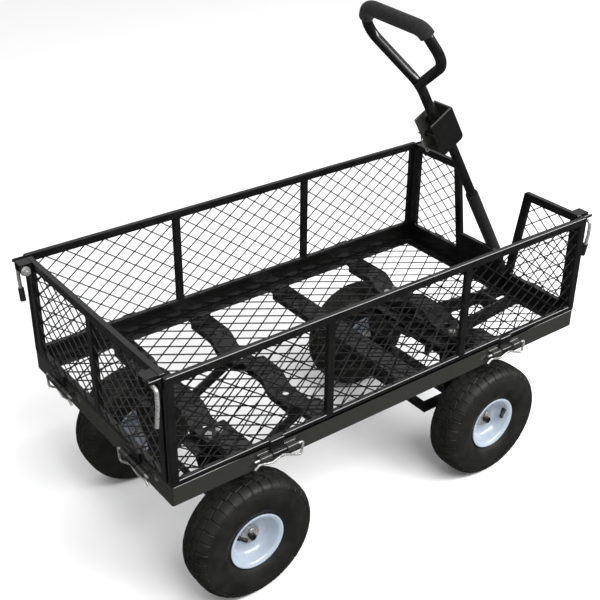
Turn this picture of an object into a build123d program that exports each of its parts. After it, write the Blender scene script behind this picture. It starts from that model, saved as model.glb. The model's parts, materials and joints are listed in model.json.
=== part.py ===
from build123d import *
import os
from math import atan2, cos, degrees, hypot, radians, sin, sqrt, tan

# Four-wheel hand cart: a mesh bed with folding gates, a steered front axle and a folding pull handle.
# Lengths are in millimetres. X points forward, Y to the left and Z up, and the tyres stand on Z = 0.

# Fits
RUNNING_FIT = 0.05  # radial play of a pin or shaft in its bore
BED_FIT = 0.3  # gap between pieces that only lie against each other

# Wheels
TYRE_RADIUS = 125.0
TYRE_WIDTH = 80.0
TYRE_WALL = 7.0
SHOULDER_DROP = 11.0  # how far the tyre's shoulder lies inside its crown
SHOULDER_INSET = 4.0  # how far the shoulder lies inside the widest point
TREAD_WIDTH = 58.0
WHEEL_INSET = 6.0  # from the side of the bed in to the tyre
CROWN_DROP = 2.0
CROWN_WALL = 10.5
RIM_RADIUS = 57.0
RIM_WIDTH = 64.0
RIM_WALL = 2.5
LIP_HEIGHT = 7.0
LIP_FLARE = 4.0
DISC_BEND = 12.0
HUB_WALL = 7.0
HUB_INNER = 25.0  # reach of the hub from the wheel's middle towards the cart
HUB_OUTER = 5.0
BEARING_WALL = 3.6
BEARING_LENGTH = 9.0
VALVE_RADIUS = 5.0
VALVE_BASE = 11.0
VALVE_STEM_RADIUS = 4.0
VALVE_STEM = 14.0
VALVE_TILT = 30.0
VALVE_ANGLES = {"front_right": 11.0, "front_left": 140.0, "rear_right": 150.0, "rear_left": 35.0}

# Axles
AXLE_RADIUS = 6.35
AXLE_END = 19.0  # reach of the axle past the wheel's middle
REAR_AXLE_X = -308.0
FRONT_AXLE_X = 291.0
KINGPIN_X = 298.0
SPACER_WALL = 3.0
WASHER_RADIUS = 19.0
WASHER_THICKNESS = 3.0
COTTER_RADIUS = 1.6
COTTER_OFFSET = 4.0  # from the outer washer to the cotter pin
COTTER_REACH = 6.0

# Bed
BED_LENGTH = 965.0
BED_WIDTH = 508.0
WHEEL_CLEARANCE = 54.0  # from the top of a tyre to the underside of the bed
ANGLE_HEIGHT = 38.0
ANGLE_FLANGE = 25.0
ANGLE_WALL = 3.0
BED_CORNER = 5.0
FLOOR_THICKNESS = 3.0
FLOOR_EDGE = 2.0
FLOOR_CELL_X = 66.0
FLOOR_CELL_Y = 47.0
NET_WIRE = 3.0
NET_RIM = 2.0

# Crossmembers and the axle brackets below them
CROSS_WIDTH = 50.0
CROSS_DEPTH = 16.0
CROSS_WALL = 3.0
CROSS_DIP = 20.0
MIDDLE_HALF = 30.0  # half length of the raised middle
SLOPE_RUN = 30.0
LOW_LENGTH = 60.0
CROSS_END_INSET = 4.0
CROSS_COPE = 26.0  # length at each end without the channel's sides
BRACE_CROSS_X = -128.0
PLAIN_CROSS_X = 82.0
LIGHTENING_RADIUS = 6.0
LIGHTENING_SET = 18.0  # from the inner end of the dip
BOLT_RADIUS = 4.0
BOLT_SET = 16.0  # from the outer end of the dip
BOLT_SPREAD = 12.0
BOLT_ACROSS = 13.0
BOLT_HEAD = 5.0
LEG_PLATE = 4.0
LEG_TOP = 100.0
LEG_FOOT = 20.0
BRACE_WIDTH = 25.0
BRACE_PLATE = 4.0
BRACE_RISE = 40.0  # height of the brace's lower end above the axle
BRACE_SET = 10.0
BRACE_FOOT = 30.0

# Turntable and tongue
TURN_PLATE = 5.0
TURN_LENGTH = 110.0
TURN_WASHER_RADIUS = 32.0
TURN_WASHER = 3.0
STEER_PLATE = 6.0
STEER_RADIUS = 72.0
CARRIER_PLATE = 4.0
CARRIER_LENGTH = 100.0
CARRIER_BAR = 24.0
CARRIER_BAR_PLATE = 4.0
CARRIER_BAR_RISE = 21.0  # from the axle's middle up to the bars
CARRIER_REAR = 99.0  # from the axle back to the middle of the rear bar
CARRIER_FRONT = 3.0
CARRIER_STRAP = 27.0
KINGPIN_RADIUS = 8.0
KINGPIN_ACROSS = 24.0
KINGPIN_HEAD = 9.0
TONGUE_DEPTH = 35.0
TONGUE_PLATE = 6.0
TONGUE_REAR_HALF = 58.0
TONGUE_FRONT_HALF = 24.0
TONGUE_OVERLAP = 40.0  # how far the arms reach behind the kingpin's middle
TONGUE_STRAIGHT = 34.0
TONGUE_END = 15.0
TONGUE_TIE = 80.0
PIVOT_RADIUS = 6.0
PIVOT_HEAD = 6.0
PIVOT_HEAD_RADIUS = 10.0

# Gates round the bed
GATE_HEIGHT = 210.0
TUBE_FACE = 16.0
TUBE_DEPTH = 10.0
TUBE_WALL = 1.5
BASE_RAIL = 10.0
TOP_CORNER = 4.0
SIDE_BAR_X = 160.5
GATE_GAP = 6.0  # between an end gate and the side gates
NOTCH_LOW = 66.0  # half width of the front notch at the bottom
NOTCH_TOP = 96.5
CELL_WIDTH = 41.0
CELL_HEIGHT = 30.7
NET_DEPTH = 3.0

# Hinges of the gates
HINGE_OUT = 8.0
HINGE_DROP = 15.0
SIDE_HINGE = 277.0
REAR_HINGE = 140.0
FRONT_HINGE = 150.0
KNUCKLE_WALL = 3.7
GATE_KNUCKLE = 30.0
BED_KNUCKLE = 24.0
KNUCKLE_GAP = 1.0
KNUCKLE_ROOT = 10.0
TAB_PLATE = 4.0
TAB_FIT = 0.5
WELD_SINK = 0.5
LOCK_WIRE = 2.25
LOCK_HALF = 50.0
LOCK_BEND = 4.5
LOCK_SLANT = 5.0
LOCK_DROP = 27.0
LOCK_WAVE = 7.0
LOCK_CRESTS = (8.0, -40.0)  # places of the arm's high points along the pin
LOCK_TROUGH = -14.0

# Latches at the gate corners
LATCH_DROP = 14.0
LATCH_OUT = 13.5
LATCH_ROD = 3.5
LATCH_BEND = 8.0
LATCH_BRACKET = 24.0
LATCH_PLATE = 3.0
LATCH_EAR = 10.0
LATCH_EDGE = 1.0
NUT_ACROSS = 13.0
NUT_HEIGHT = 6.0
LATCH_WASHER_RADIUS = 9.0
LATCH_WASHER = 2.0
LEVER_INSET = 2.0
LEVER_STRAIGHT = 30.0
LEVER_LENGTH = 74.0
LEVER_KINK = 7.0
TIP_LENGTH = 26.0
TIP_WALL = 2.0
TIP_END = 2.0
KEEPER_PLATE = 3.0
KEEPER_INSET = 7.0
KEEPER_REACH = 24.0
KEEPER_CLEAR = 3.0
KEEPER_ROOF = 7.0
TIPPED_LEVERS = ("rear_left", "front_left", "front_right")

# Handle rest in the front notch
REST_HEIGHT = 55.0
REST_PLATE = 3.0
REST_FOOT = 16.0
REST_HALF = 62.0
REST_BOLT_Y = 45.0
REST_BOLT_RADIUS = 3.0
REST_BOLT_ACROSS = 10.0
REST_GAP = 5.0

# Pull handle
LEAN = 30.0  # degrees that the parked handle leans back from upright
HANDLE_RADIUS = 10.0
HANDLE_WALL = 1.8
HANDLE_LENGTH = 504.0
EYE_WALL = 5.0
SLEEVE_WALL = 3.5
SLEEVE_START = 150.0
SLEEVE_END = 343.0
BRACKET_WIDTH = 50.0
BRACKET_FRONT = 19.0
BRACKET_REAR = 42.0
BRACKET_LENGTH = 82.0
BRACKET_WALL = 4.0
BRACKET_ROUND = 9.0
HITCH_RADIUS = 5.0
HITCH_UP = 36.0
HITCH_BACK = 30.0
HITCH_SHOULDER = 2.5
HITCH_SHOULDER_RADIUS = 8.5
HITCH_TAIL = 10.0
CLIP_WIRE = 1.3
CLIP_LEG = 48.0
CLIP_TOP = 9.0
CLIP_GAP = 11.0
CLIP_BEND = 4.5
CLIP_WAVE = 2.6

# Folding grip
GRIP_PIVOT_UP = 61.0
GRIP_BACK = 13.0  # from the handle's middle back to the grip
GRIP_BOLT_RADIUS = 5.0
GRIP_BOLT_HEAD = 3.0
GRIP_HEAD_RADIUS = 8.0
GRIP_COLLAR_WALL = 3.5
GRIP_HEEL = 9.0
GRIP_STEM = 99.0  # from the grip's pivot up to its fork
GRIP_LEFT = (100.0, 115.0)  # corners of the loop, sideways and up from the fork
GRIP_BAR_LEFT = (62.0, 169.0)
GRIP_BAR_RIGHT = (-81.0, 157.0)
GRIP_RIGHT = (-105.0, 84.0)
FORK_BEND = 60.0
CORNER_BEND = 45.0
BAR_BEND = 30.0
FOAM_WALL = 7.0
FOAM_LEFT = 33.0  # reach of the foam round the bar's corners
FOAM_RIGHT = 22.0

# Heights and places that follow from the sizes above
AXLE_Z = TYRE_RADIUS
BED_BOTTOM = 2 * TYRE_RADIUS + WHEEL_CLEARANCE
RAIL_TOP = BED_BOTTOM + ANGLE_HEIGHT
FLOOR_BOTTOM = BED_BOTTOM + ANGLE_WALL
FLOOR_TOP = FLOOR_BOTTOM + FLOOR_THICKNESS
LOW_START = MIDDLE_HALF + SLOPE_RUN
LOW_END = LOW_START + LOW_LENGTH
LIGHTENING_Y = LOW_START + LIGHTENING_SET
BOLT_Y = LOW_END - BOLT_SET
LOW_TOP = BED_BOTTOM - CROSS_DIP
LOW_BOTTOM = LOW_TOP - CROSS_DEPTH
TURN_BOTTOM = LOW_BOTTOM - TURN_PLATE
STEER_TOP = TURN_BOTTOM - TURN_WASHER
STEER_BOTTOM = STEER_TOP - STEER_PLATE
TONGUE_TOP = STEER_BOTTOM - CARRIER_PLATE
PIVOT_Z = TONGUE_TOP - TONGUE_DEPTH / 2
WHEEL_Y = BED_WIDTH / 2 - WHEEL_INSET - TYRE_WIDTH / 2
BEARING_RADIUS = AXLE_RADIUS + RUNNING_FIT + BEARING_WALL
HUB_RADIUS = BEARING_RADIUS + HUB_WALL
SEAT_RADIUS = RIM_RADIUS - LIP_HEIGHT
BARREL_INSIDE = SEAT_RADIUS - RIM_WALL
VALVE_OFFSET = RIM_WALL / 2 + DISC_BEND + VALVE_RADIUS
END_HALF = BED_WIDTH / 2 - TUBE_DEPTH - GATE_GAP
LATCH_Z = BED_FIT + GATE_HEIGHT - LATCH_DROP
LEVER_X = BED_WIDTH / 2 - LEVER_INSET
KNUCKLE_RADIUS = LOCK_WIRE + RUNNING_FIT + KNUCKLE_WALL
SLEEVE_RADIUS = HANDLE_RADIUS + RUNNING_FIT + SLEEVE_WALL
TONGUE_INSIDE = TONGUE_FRONT_HALF - TONGUE_PLATE / 2

# The parked handle leans on the front upper edge of its rest
REST_FRONT = BED_LENGTH / 2 - TUBE_DEPTH - BED_FIT
REST_TOP = RAIL_TOP + REST_HEIGHT
REST_BACK = REST_FRONT - TUBE_DEPTH
REST_BOLT_X = REST_BACK + (REST_PLATE + REST_FOOT) / 2
LEAN_COS = cos(radians(LEAN))
LEAN_SIN = sin(radians(LEAN))
REST_OFFSET = SLEEVE_RADIUS + REST_GAP
PIVOT_X = (
    REST_FRONT
    + REST_OFFSET * LEAN_COS
    + (REST_TOP + REST_OFFSET * LEAN_SIN - PIVOT_Z) * tan(radians(LEAN))
)
HANDLE = Plane(
    origin=(PIVOT_X, 0, PIVOT_Z), x_dir=(LEAN_COS, 0, LEAN_SIN), z_dir=(-LEAN_SIN, 0, LEAN_COS)
)
GRIP_PIVOT = HANDLE_LENGTH + GRIP_PIVOT_UP

# Each edge of the bed has a frame of its own: X along the rail, -Y outwards, Z up from the rail's top
EDGES = {
    "right": Pos(0, -BED_WIDTH / 2, RAIL_TOP),
    "left": Pos(0, BED_WIDTH / 2, RAIL_TOP) * Rot(0, 0, 180),
    "rear": Pos(-BED_LENGTH / 2, 0, RAIL_TOP) * Rot(0, 0, -90),
    "front": Pos(BED_LENGTH / 2, 0, RAIL_TOP) * Rot(0, 0, 90),
}
HINGES = {
    "right": (-SIDE_HINGE, SIDE_HINGE),
    "left": (-SIDE_HINGE, SIDE_HINGE),
    "rear": (-REAR_HINGE, REAR_HINGE),
    "front": (-FRONT_HINGE, FRONT_HINGE),
}
LOCK_TURN = {"right": 1, "left": 1, "rear": -1, "front": 1}
SIDES = {"left": 1, "right": -1}
AXLES = {"front": FRONT_AXLE_X, "rear": REAR_AXLE_X}

pieces = {}


def block(x, y, z):
    """A box between a low and a high limit on each axis."""
    low = Vector(x[0], y[0], z[0])
    high = Vector(x[1], y[1], z[1])
    size = high - low
    return Pos((low + high) / 2) * Box(size.X, size.Y, size.Z)


def bar(start, end, radius):
    """A round bar from one point to another."""
    run = Vector(end) - Vector(start)
    upright = Cylinder(radius, run.length, align=(Align.CENTER, Align.CENTER, Align.MIN))
    return Plane(origin=start, z_dir=run) * upright


def across(x, z, radius, y):
    """A round bar along Y between two values of y."""
    return bar((x, y[0], z), (x, y[1], z), radius)


def ring(x, z, outer, inner, y):
    """A tube along Y between two values of y."""
    return across(x, z, outer, y) - across(x, z, inner, y)


def loop(points, place):
    """A closed wire through points of a plane, each put in space by place."""
    return Wire.make_polygon([place(*point) for point in points], close=True)


def plate(outline, y, holes=()):
    """A flat plate in the XZ plane, with polygon holes, between two values of y."""
    def place(u, v):
        return (u, y[0], v)

    face = Face(loop(outline, place), [loop(hole, place) for hole in holes])
    return extrude(face, amount=y[1] - y[0], dir=(0, 1, 0))


def slab(outline, z, holes=()):
    """A flat plate in the XY plane, with polygon holes, between two values of z."""
    def place(u, v):
        return (u, v, z[0])

    face = Face(loop(outline, place), [loop(hole, place) for hole in holes])
    return extrude(face, amount=z[1] - z[0], dir=(0, 0, 1))


def rectangle(x, z):
    """The corners of a rectangle, anticlockwise from its low corner."""
    return [(x[0], z[0]), (x[1], z[0]), (x[1], z[1]), (x[0], z[1])]


def inset(outline, widths):
    """A convex anticlockwise polygon with each edge moved inwards by its own width."""
    lines = []
    for (ax, ay), (bx, by), width in zip(outline, outline[1:] + outline[:1], widths):
        length = hypot(bx - ax, by - ay)
        nx, ny = (ay - by) / length, (bx - ax) / length
        lines.append((nx, ny, nx * ax + ny * ay + width))
    corners = []
    for (a, b, c), (d, e, f) in zip(lines[-1:] + lines[:-1], lines):
        det = a * e - b * d
        corners.append(((c * e - b * f) / det, (a * f - c * d) / det))
    return corners


def clip(points, region):
    """The part of a convex polygon inside another one, both anticlockwise."""
    for (ax, ay), (bx, by) in zip(region, region[1:] + region[:1]):
        sides = [(bx - ax) * (y - ay) - (by - ay) * (x - ax) for x, y in points]
        kept = []
        for i, (x, y) in enumerate(points):
            here, there = sides[i - 1], sides[i]
            before = points[i - 1]
            if here * there < 0:
                share = here / (here - there)
                kept.append((before[0] + share * (x - before[0]), before[1] + share * (y - before[1])))
            if there >= 0:
                kept.append((x, y))
        points = kept
    return points


def area(points):
    """The area of an anticlockwise polygon."""
    pairs = zip(points, points[1:] + points[:1])
    return sum(ax * by - bx * ay for (ax, ay), (bx, by) in pairs) / 2


def gaps(outline, cell, origin):
    """The diamond gaps of a net inside an outline, cut off at the net's rim."""
    region = inset(outline, [NET_RIM] * len(outline))
    half_u, half_v = cell[0] / 2, cell[1] / 2
    shrink = 1 - NET_WIRE / 2 * hypot(half_u, half_v) / (half_u * half_v)
    smallest = NET_WIRE * NET_WIRE
    lows = [min(point[axis] for point in outline) for axis in (0, 1)]
    highs = [max(point[axis] for point in outline) for axis in (0, 1)]
    first = [int((lows[axis] - origin[axis]) // (cell[axis] / 2)) for axis in (0, 1)]
    last = [int((highs[axis] - origin[axis]) // (cell[axis] / 2)) + 1 for axis in (0, 1)]
    found = []
    for i in range(first[0], last[0] + 1):
        for j in range(first[1], last[1] + 1):
            if (i + j) % 2:
                continue
            u, v = origin[0] + i * half_u, origin[1] + j * half_v
            a, b = half_u * shrink, half_v * shrink
            diamond = [(u - a, v), (u, v - b), (u + a, v), (u, v + b)]
            gap = clip(diamond, region)
            if len(gap) > 2 and area(gap) > smallest:
                found.append(gap)
    return found


def tube(points, bends, outer, inner=0.0):
    """A round tube along straight runs joined by arcs."""
    path = FilletPolyline(*points, radius=bends)
    section = Circle(outer) - Circle(inner) if inner else Circle(outer)
    return sweep(Plane(origin=path @ 0, z_dir=path % 0) * section, path=path)


def hexagon(across_flats, height):
    """A hexagon nut or bolt head standing on the XY plane."""
    return extrude(RegularPolygon(across_flats / 2, 6, major_radius=False), amount=height)


def add(name, *shapes):
    """Keeps the solids of a named piece."""
    pieces[name] = [solid for shape in shapes for solid in shape.solids()]


def make_bed_frame():
    """The angle-iron frame, with the bed's half of every gate hinge welded to its rails."""
    outer = RectangleRounded(BED_LENGTH, BED_WIDTH, BED_CORNER)
    inner = RectangleRounded(
        BED_LENGTH - 2 * ANGLE_WALL, BED_WIDTH - 2 * ANGLE_WALL, BED_CORNER - ANGLE_WALL
    )
    opening = Rectangle(BED_LENGTH - 2 * ANGLE_FLANGE, BED_WIDTH - 2 * ANGLE_FLANGE)
    frame = Pos(0, 0, BED_BOTTOM) * (
        extrude(outer - inner, amount=ANGLE_HEIGHT) + extrude(outer - opening, amount=ANGLE_WALL)
    )
    offset = GATE_KNUCKLE / 2 + KNUCKLE_GAP + BED_KNUCKLE / 2
    knuckles = []
    for edge, places in HINGES.items():
        for place in places:
            for middle in (place - offset, place + offset):
                knuckles.append(EDGES[edge] * Pos(middle, 0, 0) * bed_knuckle())
    holes = [bolt_hole(REST_BOLT_X, side * REST_BOLT_Y, REST_BOLT_RADIUS) for side in (-1, 1)]
    add("bed_frame", frame + knuckles - holes)


def bed_knuckle():
    """One bored knuckle on the rail, in the frame of a bed edge."""
    half = BED_KNUCKLE / 2
    start, end = (-half, -HINGE_OUT, -HINGE_DROP), (half, -HINGE_OUT, -HINGE_DROP)
    root = block(
        (-half, half),
        (-HINGE_OUT, WELD_SINK),
        (-HINGE_DROP - KNUCKLE_ROOT / 2, -HINGE_DROP + KNUCKLE_ROOT / 2),
    )
    return bar(start, end, KNUCKLE_RADIUS) + root - bar(start, end, LOCK_WIRE + RUNNING_FIT)


def gate_knuckle():
    """The bored knuckle under a gate and the tab that carries it, in the frame of a bed edge."""
    half = GATE_KNUCKLE / 2
    start, end = (-half, -HINGE_OUT, -HINGE_DROP), (half, -HINGE_OUT, -HINGE_DROP)
    tab = block(
        (-half, half), (-TAB_FIT - TAB_PLATE, -TAB_FIT), (-HINGE_DROP, BED_FIT + BASE_RAIL)
    )
    weld = block((-half, half), (-TAB_FIT, WELD_SINK), (2 * BED_FIT, BED_FIT + BASE_RAIL))
    knuckle = bar(start, end, KNUCKLE_RADIUS) + tab + weld
    return knuckle - bar(start, end, LOCK_WIRE + RUNNING_FIT)


def bolt_hole(x, y, radius):
    """A cutter for an upright bolt hole through the bed or the carriage below it."""
    return bar((x, y, TONGUE_TOP), (x, y, RAIL_TOP), radius + RUNNING_FIT)


def make_floor():
    """The expanded-metal floor that lies on the frame's flange, notched round the handle rest."""
    length = BED_LENGTH - 2 * ANGLE_WALL - 2 * FLOOR_EDGE
    width = BED_WIDTH - 2 * ANGLE_WALL - 2 * FLOOR_EDGE
    outline = rectangle((-length / 2, length / 2), (-width / 2, width / 2))
    rim_x = length / 2 - BED_LENGTH / 2 + ANGLE_FLANGE
    rim_y = width / 2 - BED_WIDTH / 2 + ANGLE_FLANGE
    opening = inset(outline, (rim_y, rim_x, rim_y, rim_x))
    holes = gaps(opening, (FLOOR_CELL_X, FLOOR_CELL_Y), (0, FLOOR_CELL_Y / 4))
    z = (FLOOR_BOTTOM, FLOOR_TOP)
    half_notch = REST_HALF + FLOOR_EDGE
    notch = block((REST_BACK - FLOOR_EDGE, length / 2), (-half_notch, half_notch), z)
    add("floor_mesh", slab(outline, z, holes) - notch)


def dropped_crossmember(x, bolted):
    """A pressed channel under the bed that dips on both sides of its raised middle."""
    end = BED_WIDTH / 2 - CROSS_END_INSET
    right = [
        (MIDDLE_HALF, BED_BOTTOM),
        (LOW_START, LOW_TOP),
        (LOW_END, LOW_TOP),
        (LOW_END + SLOPE_RUN, BED_BOTTOM),
        (end, BED_BOTTOM),
    ]
    top = [(-y, z) for y, z in reversed(right)] + right
    under = [(y, z - CROSS_WALL) for y, z in top]
    low = [(y, z - CROSS_DEPTH) for y, z in top]
    deep = [(y, z - 2 * CROSS_DEPTH) for y, z in top]
    half = CROSS_WIDTH / 2
    shell = channel(low + top[::-1], x - half, x + half)
    channel_inside = channel(deep + under[::-1], x - half + CROSS_WALL, x + half - CROSS_WALL)
    cuts = []
    for side in (-1, 1):
        cuts.append(bolt_hole(x, side * LIGHTENING_Y, LIGHTENING_RADIUS))
        if bolted:
            spread = (-BOLT_SPREAD, BOLT_SPREAD)
            cuts += [bolt_hole(x + step, side * BOLT_Y, BOLT_RADIUS) for step in spread]
    return shell - channel_inside - cuts - copes(x)


def copes(x):
    """Clears the sides of a channel at both ends, where only its web lies under the rails."""
    half = CROSS_WIDTH / 2
    end = BED_WIDTH / 2 - CROSS_END_INSET
    z = (BED_BOTTOM - CROSS_DEPTH, BED_BOTTOM - CROSS_WALL)
    ends = [sorted((side * (end - CROSS_COPE), side * end)) for side in SIDES.values()]
    return [block((x - half, x + half), y, z) for y in ends]


def channel(outline, start, end):
    """A polygon of (y, z) points drawn out along X."""
    face = Face(Wire.make_polygon([(start, y, z) for y, z in outline], close=True))
    return extrude(face, amount=end - start, dir=(1, 0, 0))


def make_crossmembers():
    """Three dipped channels and a straight one, all welded under the bed frame."""
    add(
        "dropped_crossmembers",
        dropped_crossmember(REAR_AXLE_X, True),
        dropped_crossmember(BRACE_CROSS_X, False),
        dropped_crossmember(KINGPIN_X, True),
    )
    end = BED_WIDTH / 2 - CROSS_END_INSET
    half = CROSS_WIDTH / 2
    inside = half - CROSS_WALL
    outer = block(
        (PLAIN_CROSS_X - half, PLAIN_CROSS_X + half), (-end, end), (BED_BOTTOM - CROSS_DEPTH, BED_BOTTOM)
    )
    hollow = block(
        (PLAIN_CROSS_X - inside, PLAIN_CROSS_X + inside),
        (-end, end),
        (BED_BOTTOM - CROSS_DEPTH, BED_BOTTOM - CROSS_WALL),
    )
    add("plain_crossmember", outer - hollow - copes(PLAIN_CROSS_X))


def axle_leg(x, top, side):
    """The upright plate that carries an axle on one side, tapering to a round foot."""
    y = sorted((side * LOW_END, side * (LOW_END - LEG_PLATE)))
    taper = plate(
        [(x - LEG_FOOT, AXLE_Z), (x + LEG_FOOT, AXLE_Z), (x + LEG_TOP / 2, top), (x - LEG_TOP / 2, top)], y
    )
    foot = across(x, AXLE_Z, LEG_FOOT, y)
    return taper + foot - across(x, AXLE_Z, AXLE_RADIUS + RUNNING_FIT, y)


def make_rear_brackets():
    """The two bolted brackets of the rear axle and the braces in front of them."""
    brackets = []
    braces = []
    for side in SIDES.values():
        y = sorted((side * LOW_START, side * LOW_END))
        flange = block(
            (REAR_AXLE_X - LEG_TOP / 2, REAR_AXLE_X + LEG_TOP / 2), y, (LOW_BOTTOM - LEG_PLATE, LOW_BOTTOM)
        )
        cuts = [
            bolt_hole(REAR_AXLE_X + step, side * BOLT_Y, BOLT_RADIUS) for step in (-BOLT_SPREAD, BOLT_SPREAD)
        ]
        brackets.append(flange + axle_leg(REAR_AXLE_X, LOW_BOTTOM, side) - cuts)
        braces.append(axle_brace(side))
    add("rear_axle_brackets", *brackets)
    add("rear_axle_braces", *braces)


def axle_brace(side):
    """A flat diagonal bar from the middle crossmember down to the rear axle's bracket."""
    outside = LOW_END - LEG_PLATE
    y = sorted((side * outside, side * (outside - BRACE_PLATE)))
    half = BRACE_WIDTH / 2
    high = Vector(BRACE_CROSS_X, 0, LOW_BOTTOM - half)
    low = Vector(REAR_AXLE_X + BRACE_SET, 0, AXLE_Z + BRACE_RISE)
    run = high - low
    tilt = -degrees(atan2(run.Z, run.X))
    bar_body = Box(run.length, y[1] - y[0], BRACE_WIDTH)
    middle = (high + low) / 2 + Vector(0, (y[0] + y[1]) / 2, 0)
    body = Pos(middle) * Rot(0, tilt, 0) * bar_body
    ends = across(high.X, high.Z, half, y) + across(low.X, low.Z, half, y)
    foot_y = sorted((side * outside, side * (outside - BRACE_FOOT)))
    foot = block((high.X - half, high.X + half), foot_y, (LOW_BOTTOM - BRACE_PLATE, LOW_BOTTOM))
    return body + ends + foot


def make_axle(name, x):
    """A plain axle with the spacers, washers and cotter pins that hold its wheels."""
    end = WHEEL_Y + AXLE_END
    hub_in = WHEEL_Y - HUB_INNER - BED_FIT
    hub_out = WHEEL_Y + HUB_OUTER + BED_FIT
    pin_y = hub_out + WASHER_THICKNESS + COTTER_OFFSET
    bore = AXLE_RADIUS + RUNNING_FIT
    axle = across(x, AXLE_Z, AXLE_RADIUS, (-end, end))
    spacers = []
    pins = []
    reach = AXLE_RADIUS + COTTER_REACH
    for side in SIDES.values():
        spacer = sorted((side * LOW_END, side * (hub_in - WASHER_THICKNESS)))
        inner = sorted((side * hub_in, side * (hub_in - WASHER_THICKNESS)))
        outer = sorted((side * hub_out, side * (hub_out + WASHER_THICKNESS)))
        spacers.append(ring(x, AXLE_Z, bore + SPACER_WALL, bore, spacer))
        spacers.append(ring(x, AXLE_Z, WASHER_RADIUS, bore, inner))
        spacers.append(ring(x, AXLE_Z, WASHER_RADIUS, bore, outer))
        low, high = (x, side * pin_y, AXLE_Z - reach), (x, side * pin_y, AXLE_Z + reach)
        axle -= bar(low, high, COTTER_RADIUS + RUNNING_FIT)
        eye = Pos(x, side * pin_y, AXLE_Z + reach) * Rot(90, 0, 0) * Torus(2 * COTTER_RADIUS, COTTER_RADIUS)
        pins.append(bar(low, high, COTTER_RADIUS) + eye)
    add(f"{name}_axle", axle)
    add(f"{name}_axle_spacers", *spacers)
    add(f"{name}_cotter_pins", *pins)


def bolt(x, y, radius, flats, top, bottom):
    """An upright bolt with a hexagon head on one face and a nut under the other."""
    head = Pos(x, y, top) * hexagon(flats, BOLT_HEAD)
    nut = Pos(x, y, bottom - BOLT_HEAD) * hexagon(flats, BOLT_HEAD)
    return head + nut + bar((x, y, bottom - BOLT_HEAD), (x, y, top), radius)


def make_bolts():
    """The bolts of the axle brackets and of the turntable, which hold on the dipped crossmembers."""
    bolts = []
    top = LOW_TOP
    bottoms = {REAR_AXLE_X: LOW_BOTTOM - LEG_PLATE, KINGPIN_X: TURN_BOTTOM}
    for x, bottom in bottoms.items():
        for side in SIDES.values():
            for step in (-BOLT_SPREAD, BOLT_SPREAD):
                bolts.append(bolt(x + step, side * BOLT_Y, BOLT_RADIUS, BOLT_ACROSS, top, bottom))
    add("carriage_bolts", *bolts)


def make_turntable():
    """The fixed plate over the front axle, its slip washer and the kingpin."""
    half = TURN_LENGTH / 2
    x = (KINGPIN_X - half, KINGPIN_X + half)
    hole = bar((KINGPIN_X, 0, TONGUE_TOP), (KINGPIN_X, 0, BED_BOTTOM), KINGPIN_RADIUS + RUNNING_FIT)
    cuts = [hole]
    for side in SIDES.values():
        cuts += [
            bolt_hole(KINGPIN_X + step, side * BOLT_Y, BOLT_RADIUS) for step in (-BOLT_SPREAD, BOLT_SPREAD)
        ]
    fixed = block(x, (-LOW_END, LOW_END), (TURN_BOTTOM, LOW_BOTTOM)) - cuts
    washer = bar((KINGPIN_X, 0, STEER_TOP), (KINGPIN_X, 0, TURN_BOTTOM), TURN_WASHER_RADIUS) - hole
    head = Pos(KINGPIN_X, 0, LOW_BOTTOM) * hexagon(KINGPIN_ACROSS, KINGPIN_HEAD)
    nut_bottom = TONGUE_TOP - BED_FIT - KINGPIN_HEAD
    nut = Pos(KINGPIN_X, 0, nut_bottom) * hexagon(KINGPIN_ACROSS, KINGPIN_HEAD)
    shank = bar((KINGPIN_X, 0, nut_bottom), (KINGPIN_X, 0, LOW_BOTTOM), KINGPIN_RADIUS)
    add("turntable_plate", fixed)
    add("turntable_washer", washer)
    add("kingpin", head + nut + shank)


def make_front_carriage():
    """The steered plate, the carrier of the front axle and the tongue."""
    hole = bar((KINGPIN_X, 0, PIVOT_Z), (KINGPIN_X, 0, BED_BOTTOM), KINGPIN_RADIUS + RUNNING_FIT)
    disc = bar((KINGPIN_X, 0, STEER_BOTTOM), (KINGPIN_X, 0, STEER_TOP), STEER_RADIUS)
    half = CARRIER_LENGTH / 2
    top = block(
        (FRONT_AXLE_X - half, FRONT_AXLE_X + half), (-LOW_END, LOW_END), (TONGUE_TOP, STEER_BOTTOM)
    )
    legs = [axle_leg(FRONT_AXLE_X, TONGUE_TOP, side) for side in SIDES.values()]
    add("steering_plate", disc - hole)
    add("front_axle_carrier", top - hole, *legs, *carrier_bars())
    add("tongue", tongue())
    out = TONGUE_FRONT_HALF + TONGUE_PLATE / 2
    shank = across(PIVOT_X, PIVOT_Z, PIVOT_RADIUS, (-out, out))
    heads = []
    for side in SIDES.values():
        y = sorted((side * out, side * (out + PIVOT_HEAD)))
        heads.append(across(PIVOT_X, PIVOT_Z, PIVOT_HEAD_RADIUS, y))
    add("handle_pivot_bolt", shank + heads)


def carrier_bars():
    """The flat bars of the carrier: one between its legs, one behind them and the straps that join them."""
    low = AXLE_Z + CARRIER_BAR_RISE
    z = (low, low + CARRIER_BAR_PLATE)
    half = CARRIER_BAR / 2
    out = LOW_END + CARRIER_STRAP
    inside = LOW_END - LEG_PLATE
    rear_x, front_x = FRONT_AXLE_X - CARRIER_REAR, FRONT_AXLE_X - CARRIER_FRONT
    bars = [
        block((rear_x - half, rear_x + half), (-out, out), z),
        block((front_x - half, front_x + half), (-inside, inside), z),
    ]
    for side in SIDES.values():
        y = sorted((side * LOW_END, side * out))
        bars.append(block((rear_x + half, FRONT_AXLE_X + LEG_FOOT), y, z))
    return bars


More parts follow.
